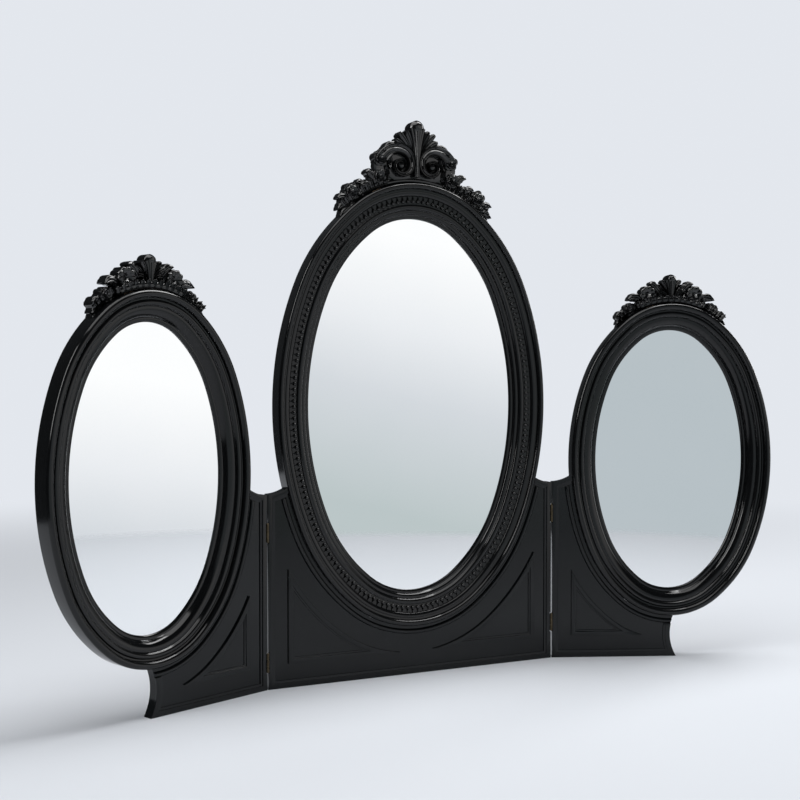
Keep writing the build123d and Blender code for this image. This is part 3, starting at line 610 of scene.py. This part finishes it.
class Carving:
    """Closed carved shapes on one flat back, gathered into one mesh. Heights are from the panel's face."""

    def __init__(self):
        self.verts, self.faces = [], []

    def grid(self, rows):
        """A closed tube through rows of points, with a cap at each end."""
        first, wide = len(self.verts), len(rows[0])
        for row in rows:
            self.verts += [tuple(float(v) for v in point) for point in row]
        for r in range(len(rows) - 1):
            for k in range(wide):
                n = (k + 1) % wide
                a, b = first + r * wide, first + (r + 1) * wide
                self.faces.append((a + k, a + n, b + n, b + k))
        self.faces.append(tuple(range(first, first + wide)))
        last = first + (len(rows) - 1) * wide
        self.faces.append(tuple(reversed(range(last, last + wide))))

    def ridge(self, path, widths, tops, profile, drop=4.0):
        """A carved ridge along a path, with a half width and a top height at each station."""
        path = np.array(path, float)
        along = np.gradient(path, axis=0)
        along /= np.maximum(np.linalg.norm(along, axis=1), 1e-9)[:, None]
        across = np.stack([-along[:, 1], along[:, 0]], 1)
        spans = np.linspace(-1, 1, LEAF_SPAN)
        rows = []
        for spot, side, wide, top in zip(path, across, widths, tops):
            row = [(*(spot - side * wide), CREST_BACK)]
            for s in spans:
                row.append((*(spot + side * wide * s), top - drop * (1 - profile(s))))
            row.append((*(spot + side * wide), CREST_BACK))
            rows.append(row)
        self.grid(rows)

    def boss(self, spot, outline, height, rings=BOSS_RINGS, sides=40):
        """A carved round: a radius for each angle, and a height for each share of it and angle."""
        rows = []
        for share in reversed(rings):
            row = []
            for k in range(sides):
                turn = 2 * math.pi * k / sides
                reach = outline(turn) * max(share, 0.02)
                x, z = spot[0] + reach * math.cos(turn), spot[1] + reach * math.sin(turn)
                row.append((x, z, height(share, turn)))
            rows.append(row)
        base = [(x, z, CREST_BACK) for x, z, h in rows[0]]
        self.grid([base] + rows)

    def mesh(self, name, side, material):
        """The gathered shapes, set on their panel's oval."""
        mesh = bpy.data.meshes.new(name)
        mesh.from_pydata(self.verts, [], self.faces)
        seat = Matrix.Translation((*OVALS[side]["at"], CREST_SETBACK[side]))
        mesh.transform(panel_matrix(side) @ seat)
        facing_out(mesh)
        mesh.materials.append(material)
        return mesh


def rounded(s):
    """Half-round."""
    return math.sqrt(max(0.0, 1 - s * s))


def ribbed(s):
    """Half-round, with a groove along the middle and one near each edge."""
    middle = 0.38 * math.exp(-((s / 0.13) ** 2))
    edges = 0.22 * math.exp(-(((abs(s) - 0.62) / 0.12) ** 2))
    return rounded(s) * (1 - middle - edges)


def banded(s):
    """A flat scroll with a standing border at each edge and a hollow between."""
    return 0.55 + 0.45 * math.cos(2 * math.pi * s) if abs(s) < 0.94 else 0.35


def bow(start, middle, end, steps):
    """Points on the smooth curve that a pull at the middle gives."""
    t = np.linspace(0, 1, steps)[:, None]
    start, middle, end = (np.array(p, float) for p in (start, middle, end))
    return (1 - t) ** 2 * start + 2 * t * (1 - t) * middle + t ** 2 * end


def leaf(carving, start, middle, end, wide, top, lobes=3, profile=ribbed):
    """An acanthus leaf on a bow: lobed edges, veins, and a tip that curls forward."""
    path = bow(start, middle, end, LEAF_STEPS)
    t = np.linspace(0, 1, LEAF_STEPS)
    body = np.sin(np.pi * np.clip(t * 0.78 + 0.12, 0, 1)) ** 0.6
    nicks = 1 - 0.2 * np.abs(np.sin(np.pi * lobes * t)) ** 6 * (t > 0.15) * (t < 0.95)
    widths = np.maximum(wide * body * nicks * np.sqrt(np.clip((1.01 - t) / 0.2, 0, 1)), 0.5)
    tops = top - 2.5 * (1 - np.sin(np.pi * np.clip(t, 0, 0.5)))
    tops += LEAF_CURL * np.clip((t - 0.55) / 0.45, 0, 1) ** 1.5
    carving.ridge(path, widths, tops, profile)


def feather(carving, start, middle, end, wide, top):
    """A fluted lobe of the plume, narrow at the neck and rolled at its round end."""
    path = bow(start, middle, end, FEATHER_STEPS)
    t = np.linspace(0, 1, FEATHER_STEPS)
    widths = wide * (0.35 + 0.65 * t) * np.sqrt(np.clip((1.04 - t) / 0.16, 0, 1))
    tops = top - 3.5 + 5.0 * t ** 1.5
    carving.ridge(path, np.maximum(widths, 0.5), tops, ribbed)


def rose(carving, spot, radius, top, petals=5, turn=0.0):
    """A rose: an outer and a middle round of cupped petals, and a coiled bud."""
    for share, high, spin in ((1.0, top - 4.2, 0.0), (0.7, top - 1.8, 0.5), (0.4, top, 0.25)):
        reach = radius * share
        shift = turn + 2 * math.pi * spin / petals

        def outline(a):
            return reach * (0.8 + 0.2 * abs(math.cos(petals * (a - shift) / 2)) ** 0.6)

        def height(s, a):
            rim = 2.3 * share ** 0.5 * s ** 2 - 3.4 * max(0.0, s - 0.9) * 10 * 0.35
            return high - 1.6 + rim - 0.9 * (1 - abs(math.cos(petals * (a - shift) / 2))) * s

        carving.boss(spot, outline, height)
    carving.boss(spot, lambda a: radius * 0.17, lambda s, a: top + 0.6 - 1.6 * s * s, sides=14)


def shell(carving, spot, radius, top, flutes, turn):
    """A scallop shell of fanned flutes round a deep round eye."""

    def outline(a):
        return radius * (0.9 + 0.1 * abs(math.cos(flutes * (a - turn) / 2)))

    def height(s, a):
        flute = 1.5 * abs(math.cos(flutes * (a - turn) / 2)) * s
        bowl = 4.6 * math.sin(min(1.0, s * 1.12) * math.pi * 0.62)
        return top - 5.0 + bowl - 1.4 * max(0, s - 0.86) * 10 + flute

    carving.boss(spot, outline, height, SHELL_RINGS, flutes * 6)


def volute(carving, eye, start_angle, outer, turns, top, hand):
    """A scroll that winds in to its eye by the same share at each turn, with a domed eye."""
    t = np.linspace(0, 1, SPIRAL_STEPS)
    angles = start_angle + 2 * math.pi * turns * t
    wound = turns * t
    reach = outer * np.exp(-1.38 * np.minimum(wound, 0.7) - 0.85 * np.maximum(wound - 0.7, 0))
    path = [(eye[0] + hand * r * math.cos(a), eye[1] + r * math.sin(a)) for r, a in zip(reach * 0.82, angles)]
    widths = np.maximum(reach * 0.25, 0.8)
    tops = top - 1.0 + 2.2 * np.sin(np.pi * np.clip(t * 1.5, 0, 1)) + 1.2 * t
    carving.ridge(path, widths, tops, banded, drop=3.0)
    carving.boss(eye, lambda a: outer * 0.13, lambda s, a: top - 0.6 - 1.6 * s * s, sides=18)


def crown_line(side, low, high, off):
    """Points over the top of the frame between two facings, from the oval's middle, and how each faces."""
    mid_x, mid_z = OVALS[side]["at"]
    ring = [(x - mid_x, z - mid_z, a, b) for x, z, a, b in oval_points(side, off, RING_STATIONS)]
    return [p for p in ring if low <= math.degrees(math.atan2(p[3], p[2])) <= high]


def oval_ridge(carving, side, low, high, off, wide, top, profile):
    """A ridge that follows the top of the frame between two facings."""
    path = [(x, z) for x, z, a, b in crown_line(side, low, high, off)]
    carving.ridge(path, [wide] * len(path), [top] * len(path), profile)


def leaf_course(carving, side, low, high, off, long, wide, top):
    """Small leaves side by side that stand out from the frame between two facings."""
    line = crown_line(side, low, high, off)
    step = max(1, round(wide * 1.9 / math.dist(line[0][:2], line[1][:2])))
    for x, z, a, b in line[step // 2::step]:
        end = (x + long * a, z + long * b)
        leaf(carving, (x, z), ((x + end[0]) / 2, (z + end[1]) / 2), end, wide, top, lobes=1)


def head(carving, spot, wide, tall, top):
    """The rolled-over head of a plume: a fat curl that hangs forward."""

    def outline(a):
        return math.hypot(wide * math.cos(a), tall * math.sin(a)) * (1 - 0.05 * abs(math.sin(2 * a)))

    def height(s, a):
        fold = 1.2 * math.exp(-(((s - 0.55) / 0.2) ** 2)) * max(0.0, math.sin(a))
        return top - 7.0 * s ** 2.4 + fold

    carving.boss(spot, outline, height, sides=36)


def ground(carving, pairs, middle, top):
    """The ground that the carving stands on: overlapping rounds of the block, lower than the ornament."""
    rounds = [(hand * x, z, radius) for x, z, radius in pairs for hand in (1, -1)]
    for x, z, radius in (*rounds, middle):
        carving.boss((x, z), lambda a: radius, lambda s, a: top - 0.8 * s ** 6, GROUND_RINGS, 30)


def plume(carving, low, high, neck, spread, flutes, top):
    """The middle of a plume: flutes that fan out as they rise."""
    t = np.linspace(0, 1, PLUME_STEPS)
    bend = 0.45 * low + 0.55 * high
    for k in range(flutes):
        share = 2 * k / (flutes - 1) - 1
        path = bow((share * neck * 3, low), (share * neck, bend), (share * spread, high), PLUME_STEPS)
        widths = 1.5 + (spread / flutes * 1.15) * t ** 1.3
        carving.ridge(path, widths, top - abs(share) * 2.2 + 2.0 * t, rounded)


def sided(hand):
    """Gives a place on the left or the right half of a crest."""
    return lambda x, z: (hand * x, z)


def centre_crest():
    """The tall crest: two large volutes under a plume, with roses and leaves down to the shoulders."""
    carving = Carving()
    oval_ridge(carving, "centre", 51, 129, 52.6, 4.6, -6.0, rounded)
    oval_ridge(carving, "centre", 72, 108, 60.5, 6.5, -9.0, rounded)
    leaf_course(carving, "centre", 48, 74, 50.0, 15.0, 4.2, -1.5)
    leaf_course(carving, "centre", 106, 132, 50.0, 15.0, 4.2, -1.5)
    for reach, low, high, wide, top, profile, drop in (
        (34, 327, 315, 8.5, -7.0, lambda s: 1.0, 1), (30, 318, 335, 1.6, -3.4, rounded, 2),
    ):
        band = bow((-reach, low), (0, high), (reach, low), BAND_STEPS)
        carving.ridge(band, [wide] * BAND_STEPS, [top] * BAND_STEPS, profile, drop)
    shoulders = ((24, 336, 25), (51, 330, 12), (58, 312, 13), (82, 295, 11), (100, 276, 9))
    ground(carving, shoulders, (0, 352, 17), -6.0)
    plume(carving, 317, 384, 1.1, 9.4, 5, 2.6)
    head(carving, (0, 385.2), 11.0, 10.3, 5.6)
    for hand in (-1, 1):
        at = sided(hand)
        feather(carving, at(3, 340), at(5, 362), at(17, 380), 5.0, 2.4)
        feather(carving, at(4, 338), at(8, 362), at(27, 376.5), 5.2, 1.0)
        feather(carving, at(5, 336), at(12, 360), at(31.5, 367), 5.2, 0.0)
        feather(carving, at(5, 334), at(14, 354), at(30, 360), 4.6, -0.8)
        volute(carving, at(24, 331.5), math.radians(20), 36.0, 1.9, 1.8, hand)
        leaf(carving, at(46, 352), at(38, 344), at(40, 326), 5.0, -2.0, lobes=2)
        leaf(carving, at(30, 362), at(42, 362), at(51, 350), 5.0, -0.5, lobes=2, profile=rounded)
        rose(carving, at(54, 340.5), 11.4, 1.6, 5, 0.3)
        rose(carving, at(56.5, 315.5), 10.4, 2.6, 6, 0.8)
        leaf(carving, at(44, 312), at(41, 322), at(47, 331), 4.2, -3.0, lobes=2)
        leaf(carving, at(60, 308), at(70, 324), at(77, 318.5), 6.0, -1.5)
        leaf(carving, at(62, 300), at(76, 308), at(84, 300), 6.4, -2.2)
        leaf(carving, at(70, 296), at(84, 312), at(90, 303), 4.6, -3.0)
        leaf(carving, at(74, 290), at(80, 300), at(88, 286), 5.0, -2.4, lobes=2)
        rose(carving, at(97, 292.5), 12.6, 1.2, 6, 1.3)
        leaf(carving, at(98, 284), at(110, 288), at(118.5, 281.5), 5.2, -2.2)
        leaf(carving, at(98, 280), at(109, 277), at(118, 266), 5.4, -2.6)
        leaf(carving, at(96, 276), at(106, 268), at(114.5, 256.5), 5.2, -3.4)
        leaf(carving, at(88, 280), at(98, 270), at(107, 262), 4.4, -3.8)
    return carving


def wing_crest(side):
    """A wing's crest: a plume between shells, with roses and leaves down to the shoulders."""
    carving = Carving()
    oval_ridge(carving, side, 52, 128, 42.6, 3.8, -7.0, rounded)
    oval_ridge(carving, side, 66, 114, 44.6, 5.2, 3.6, rounded)
    leaf_course(carving, side, 64, 116, 41.0, 11.0, 4.2, 5.4)
    leaf_course(carving, side, 48, 64, 41.0, 13.0, 3.6, 1.0)
    leaf_course(carving, side, 116, 132, 41.0, 13.0, 3.6, 1.0)
    ground(carving, ((14, 240, 12), (35, 237, 10), (56, 219, 9), (69, 204, 7)), (0, 250, 10), -7.0)
    plume(carving, 229, 266, 0.9, 6.6, 5, 2.2)
    head(carving, (0, 267.2), 8.6, 7.4, 4.6)
    for hand in (-1, 1):
        at = sided(hand)
        feather(carving, at(2, 240), at(5, 258), at(14, 265), 4.2, 1.4)
        feather(carving, at(3, 238), at(9, 252), at(20, 258), 4.2, 0.2)
        leaf(carving, at(15, 244), at(24, 262), at(33, 260), 6.0, 0.0)
        volute(carving, at(13, 240.0), math.radians(60), 11.5, 1.7, 1.6, hand)
        leaf(carving, at(18, 232), at(24, 240), at(22, 251), 4.0, -2.0, lobes=2)
        shell(carving, at(35, 245.0), 12.8, 2.4, 9, math.radians(90 - hand * 25))
        leaf(carving, at(42, 234), at(52, 246), at(65, 236), 6.4, -0.6)
        leaf(carving, at(36, 232), at(46, 236), at(52, 226), 4.4, -2.0, lobes=2)
        rose(carving, at(61.5, 222.5), 10.0, 1.6, 6, 0.5)
        leaf(carving, at(46, 224), at(52, 228), at(54, 216), 3.8, -2.6, lobes=2)
        leaf(carving, at(64, 216), at(74, 220), at(83, 211), 4.6, -1.8)
        leaf(carving, at(66, 210), at(74, 208), at(82, 200), 4.4, -2.4)
        leaf(carving, at(68, 205), at(74, 202), at(81, 195), 3.6, -3.2)
    return carving


for side in HANDS:
    carving = centre_crest() if side == "centre" else wing_crest(side)
    name = f"{side}_crest_carving"
    mesh = carving.mesh(name, side, CARVED_LACQUER)
    shown(name, mesh, BODIES[side], "carved_lacquer", [f"{side}_crest"], CREST_SHARP)

# Loose tongues: plain slips of beech glued into slots between the frames and their boards and crests. They
# are hidden once the frame is home.
BEECH = finish("tongue_wood", ((0.46, 0.3, 0.17), (0.6, 0.42, 0.26)), (0.5, 0.65), bump=0.2, broad=40.0)
for side in HANDS:
    paint(f"{side}_frame_tongues", BEECH)
    paint(f"{side}_crest_tongues", BEECH)

# Hinges: four small butts of brass, bronzed dark, with their knuckles at the front and one leaf let into the
# edge of each board. The pin is driven into the outer knuckles and the middle one turns on it.
HINGE_HEIGHTS = {"left": (36, 209), "right": (53, 214)}
HINGE_LONG = 25.0
KNUCKLE_RADIUS, KNUCKLE_SPLIT, KNUCKLE_PLAY = 2.0, 4.2, 0.15
LEAF_THICK, LEAF_WIDE, HINGE_GAP = 1.0, 11.0, 1.0
KNUCKLE_RIM = 0.2
PIN_PROUD, PIN_RIM = 0.8, 0.4
PIN_TIP, PIN_HEAD, PIN_WAIST = 0.7, 1.2, 1.0
KNUCKLE_SIDES, PIN_SIDES = 28, 20
BRASS = finish(
    "brass_hinge", ((0.05, 0.04, 0.027), (0.095, 0.075, 0.048)), (0.22, 0.38),
    metallic=1.0, broad=120.0, bump=0.08,
)


def barrel(low, high):
    """A knuckle about Z with slightly eased rims."""
    rim, full = KNUCKLE_RADIUS - KNUCKLE_RIM, KNUCKLE_RADIUS
    rings = [(rim, low), (full, low + KNUCKLE_RIM), (full, high - KNUCKLE_RIM), (rim, high)]
    return lathe(rings, KNUCKLE_SIDES)


def block(x0, x1, y0, y1, z0, z1):
    """A plain slab."""
    return [(x, y, z) for z in (z0, z1) for x, y in ((x0, y0), (x1, y0), (x1, y1), (x0, y1))], BOX_FACES


HALF = HINGE_LONG / 2
OUTER = ((-HALF, -KNUCKLE_SPLIT), (KNUCKLE_SPLIT, HALF))
MIDDLE = ((-KNUCKLE_SPLIT + KNUCKLE_PLAY, KNUCKLE_SPLIT - KNUCKLE_PLAY),)
for hinge, heights in HINGE_HEIGHTS.items():
    hand = HANDS[hinge]
    places = [(0, 0, height) for height in heights]
    for side, own, spans in (("centre", -hand, OUTER), (hinge, hand, MIDDLE)):
        parts = []
        for low, high in spans:
            parts.append(barrel(low, high))
            x0, x1 = sorted((own * 0.2, own * (HINGE_GAP + LEAF_THICK)))
            parts.append(block(x0, x1, 0.2, 2.0, low + 0.05, high - 0.05))
        x0, x1 = sorted((own * HINGE_GAP, own * (HINGE_GAP + LEAF_THICK)))
        parts.append(block(x0, x1, 2.0, LEAF_WIDE, -HALF, HALF))
        turn = Matrix.Rotation(-WING_FOLD * hand if side == hinge else 0.0, 4, "Z")
        matrix = Matrix.Translation((hand * HINGE_X * MM, FACE_Y * MM, 0)) @ turn @ Matrix.Scale(MM, 4)
        word = "centre" if side == "centre" else "wing"
        mesh = repeated(shape_object("leaf", parts), places, [(0, 0, 0)] * 2, BRASS, matrix)
        name = f"{hinge}_hinge_{word}_leaves"
        shown(f"{name}_brass", mesh, BODIES[side], "brass_hinge", [name])
        paint(f"{hinge}_hinge_{word}_screws", SCREW_STEEL)
    lower = [(PIN_TIP, -HALF - PIN_PROUD), (PIN_HEAD, -HALF - PIN_RIM), (PIN_HEAD, -HALF)]
    upper = [(radius, -height) for radius, height in reversed(lower)]
    pin = lathe([*lower, (PIN_WAIST, 0), *upper], PIN_SIDES)
    matrix = Matrix.Translation((hand * HINGE_X * MM, FACE_Y * MM, 0)) @ Matrix.Scale(MM, 4)
    mesh = repeated(shape_object("pin", [pin]), places, [(0, 0, 0)] * 2, BRASS, matrix)
    shown(f"{hinge}_hinge_pins_brass", mesh, "centre", "brass_hinge", [f"{hinge}_hinge_pins"])

# Floor, room and lamps: a pale table top that fades into a pale room, with broad soft lamps. In the glasses
# the low part of the room runs from grey-green up to white, and to the right it stays an even blue-grey.
FLOOR_HALF = 6.0
TABLE_EDGE = (1.36, 1.52)
PALE_FLOOR = (0.635, 0.66, 0.70)
ROOM_SHOWN = (0.77, 0.80, 0.85)
FADE = (0.7, 2.6)
ROOM_TONES = (
    (0.0, (0.53, 0.595, 0.60)), (0.42, (0.70, 0.73, 0.765)),
    (0.68, (0.88, 0.895, 0.92)), (1.0, (1.05, 1.05, 1.05)),
)
RAMP_LEAN, RAMP_HIGH = 0.28, 0.225
RIGHT_SPAN, ABOVE_SPAN, FRONT_SPAN, LEFT_SPAN = (0.04, 0.24), (0.16, 0.42), (0.1, -0.35), (-0.55, -0.25)
RIGHT_TONE = (0.505, 0.56, 0.59)
DARK_ROOM = (0.05, 0.054, 0.058)


def ranged(nodes, low, high, smooth=True):
    """A map from low to high onto nought to one."""
    node = nodes.new("ShaderNodeMapRange")
    node.interpolation_type = "SMOOTHSTEP" if smooth else "LINEAR"
    node.inputs["From Min"].default_value = low
    node.inputs["From Max"].default_value = high
    return node


def arithmetic(nodes, operation):
    """A sum of the given kind."""
    node = nodes.new("ShaderNodeMath")
    node.operation = operation
    return node


def floor_material():
    """Pale, faded into the room for the eye, and open to the room past the table's edge in the glasses."""
    material = bpy.data.materials.new("pale_floor")
    material.use_nodes = True
    nodes, link = material.node_tree.nodes, material.node_tree.links.new
    shader = nodes["Principled BSDF"]
    shader.inputs["Base Color"].default_value = (*PALE_FLOOR, 1)
    shader.inputs["Roughness"].default_value = 0.6
    shader.inputs["Specular IOR Level"].default_value = 0.2
    place = nodes.new("ShaderNodeTexCoord")
    far = nodes.new("ShaderNodeVectorMath")
    far.operation = "LENGTH"
    fade = ranged(nodes, *FADE)
    front = ranged(nodes, *TABLE_EDGE)
    path = nodes.new("ShaderNodeLightPath")
    faded = arithmetic(nodes, "MULTIPLY")
    unseen = arithmetic(nodes, "MULTIPLY")
    backdrop = nodes.new("ShaderNodeEmission")
    backdrop.inputs["Color"].default_value = (*ROOM_SHOWN, 1)
    clear = nodes.new("ShaderNodeBsdfTransparent")
    to_room = nodes.new("ShaderNodeMixShader")
    to_clear = nodes.new("ShaderNodeMixShader")
    link(place.outputs["Object"], far.inputs[0])
    link(far.outputs["Value"], fade.inputs["Value"])
    link(far.outputs["Value"], front.inputs["Value"])
    link(fade.outputs["Result"], faded.inputs[0])
    link(path.outputs["Is Camera Ray"], faded.inputs[1])
    link(front.outputs["Result"], unseen.inputs[0])
    link(path.outputs["Is Glossy Ray"], unseen.inputs[1])
    link(faded.outputs["Value"], to_room.inputs["Fac"])
    link(shader.outputs["BSDF"], to_room.inputs[1])
    link(backdrop.outputs["Emission"], to_room.inputs[2])
    link(unseen.outputs["Value"], to_clear.inputs["Fac"])
    link(to_room.outputs["Shader"], to_clear.inputs[1])
    link(clear.outputs["BSDF"], to_clear.inputs[2])
    link(to_clear.outputs["Shader"], nodes["Material Output"].inputs["Surface"])
    return material


floor_mesh = bpy.data.meshes.new("floor")
corners = ((-1, -1), (1, -1), (1, 1), (-1, 1))
floor_mesh.from_pydata([(x * FLOOR_HALF, y * FLOOR_HALF, 0.0) for x, y in corners], [], [(0, 1, 2, 3)])
floor_mesh.materials.append(floor_material())
floor = bpy.data.objects.new("floor", floor_mesh)
bpy.context.scene.collection.objects.link(floor)


def room():
    """The room's light by direction, with a plain pale backdrop where the camera sees it."""
    world = bpy.data.worlds.new("room")
    bpy.context.scene.world = world
    world.use_nodes = True
    nodes, link = world.node_tree.nodes, world.node_tree.links.new
    place = nodes.new("ShaderNodeTexCoord")
    split = nodes.new("ShaderNodeSeparateXYZ")
    link(place.outputs["Generated"], split.inputs["Vector"])
    lift = arithmetic(nodes, "MULTIPLY_ADD")
    lift.inputs[1].default_value = RAMP_LEAN
    link(split.outputs["X"], lift.inputs[0])
    link(split.outputs["Z"], lift.inputs[2])
    height = ranged(nodes, 0.0, RAMP_HIGH, smooth=False)
    link(lift.outputs["Value"], height.inputs["Value"])
    ramp = nodes.new("ShaderNodeValToRGB")
    tones = ramp.color_ramp.elements
    while len(tones) < len(ROOM_TONES):
        tones.new(0.5)
    for tone, (position, colour) in zip(tones, ROOM_TONES):
        tone.position = position
        tone.color = (*colour, 1)
    link(height.outputs["Result"], ramp.inputs["Fac"])
    side = ranged(nodes, *RIGHT_SPAN)
    link(split.outputs["X"], side.inputs["Value"])
    low_room = nodes.new("ShaderNodeMix")
    low_room.data_type = "RGBA"
    low_room.inputs["A"].default_value = (*RIGHT_TONE, 1)
    link(side.outputs["Result"], low_room.inputs["Factor"])
    link(ramp.outputs["Color"], low_room.inputs["B"])
    above = ranged(nodes, *ABOVE_SPAN)
    link(split.outputs["Z"], above.inputs["Value"])
    front = ranged(nodes, *FRONT_SPAN)
    link(split.outputs["Y"], front.inputs["Value"])
    left = ranged(nodes, *LEFT_SPAN)
    link(split.outputs["X"], left.inputs["Value"])
    open_side = arithmetic(nodes, "MULTIPLY")
    link(front.outputs["Result"], open_side.inputs[0])
    link(left.outputs["Result"], open_side.inputs[1])
    shut = arithmetic(nodes, "SUBTRACT")
    shut.inputs[0].default_value = 1.0
    link(open_side.outputs["Value"], shut.inputs[1])
    dim = arithmetic(nodes, "MAXIMUM")
    link(shut.outputs["Value"], dim.inputs[0])
    link(above.outputs["Result"], dim.inputs[1])
    whole = nodes.new("ShaderNodeMix")
    whole.data_type = "RGBA"
    whole.inputs["B"].default_value = (*DARK_ROOM, 1)
    link(dim.outputs["Value"], whole.inputs["Factor"])
    link(low_room.outputs["Result"], whole.inputs["A"])
    lit = nodes["Background"]
    link(whole.outputs["Result"], lit.inputs["Color"])
    seen = nodes.new("ShaderNodeBackground")
    seen.inputs["Color"].default_value = (*ROOM_SHOWN, 1)
    path = nodes.new("ShaderNodeLightPath")
    choose = nodes.new("ShaderNodeMixShader")
    link(path.outputs["Is Camera Ray"], choose.inputs["Fac"])
    link(lit.outputs["Background"], choose.inputs[1])
    link(seen.outputs["Background"], choose.inputs[2])
    link(choose.outputs["Shader"], nodes["World Output"].inputs["Surface"])


room()


def soft_lamp(name, place, aim, wide, tall, power):
    """A broad lamp with square corners, turned to its aim."""
    lamp = bpy.data.lights.new(name, "AREA")
    lamp.shape = "RECTANGLE"
    lamp.size, lamp.size_y = wide, tall
    lamp.energy = power
    piece = bpy.data.objects.new(name, lamp)
    piece.location = place
    piece.rotation_euler = (Vector(aim) - Vector(place)).to_track_quat("-Z", "Y").to_euler()
    bpy.context.scene.collection.objects.link(piece)


soft_lamp("high_lamp", (1.05, 0.05, 2.45), (0.3, 0, 0.2), 1.1, 1.5, 52)
soft_lamp("fill_lamp", (-0.5, -0.3, 2.6), (0, 0, 0.2), 2.0, 2.0, 32)
soft_lamp("left_lamp", (-2.3, -0.5, 1.5), (0, 0, 0.4), 0.5, 1.6, 22)
soft_lamp("right_lamp", (2.4, 0.6, 1.3), (0, 0, 0.4), 0.4, 1.4, 14)

# Camera: where the photograph was taken from, low and to the left of the tall glass, with a lens a little
# longer than normal and everything sharp.
CAMERA_AT = (-0.7577, -1.5707, 0.4278)
CAMERA_YAW = math.radians(25.09)
CAMERA_PITCH = math.radians(-1.48)
CAMERA_LENS = 56.02
SENSOR = 36.0
lens = bpy.data.cameras.new("camera")
lens.sensor_width = SENSOR
lens.lens = CAMERA_LENS
lens.dof.use_dof = False
camera = bpy.data.objects.new("camera", lens)
camera.location = CAMERA_AT
camera.rotation_euler = (math.pi / 2 + CAMERA_PITCH, 0, -CAMERA_YAW)
bpy.context.scene.collection.objects.link(camera)
bpy.context.scene.camera = camera
bpy.context.scene.view_settings.view_transform = "Standard"
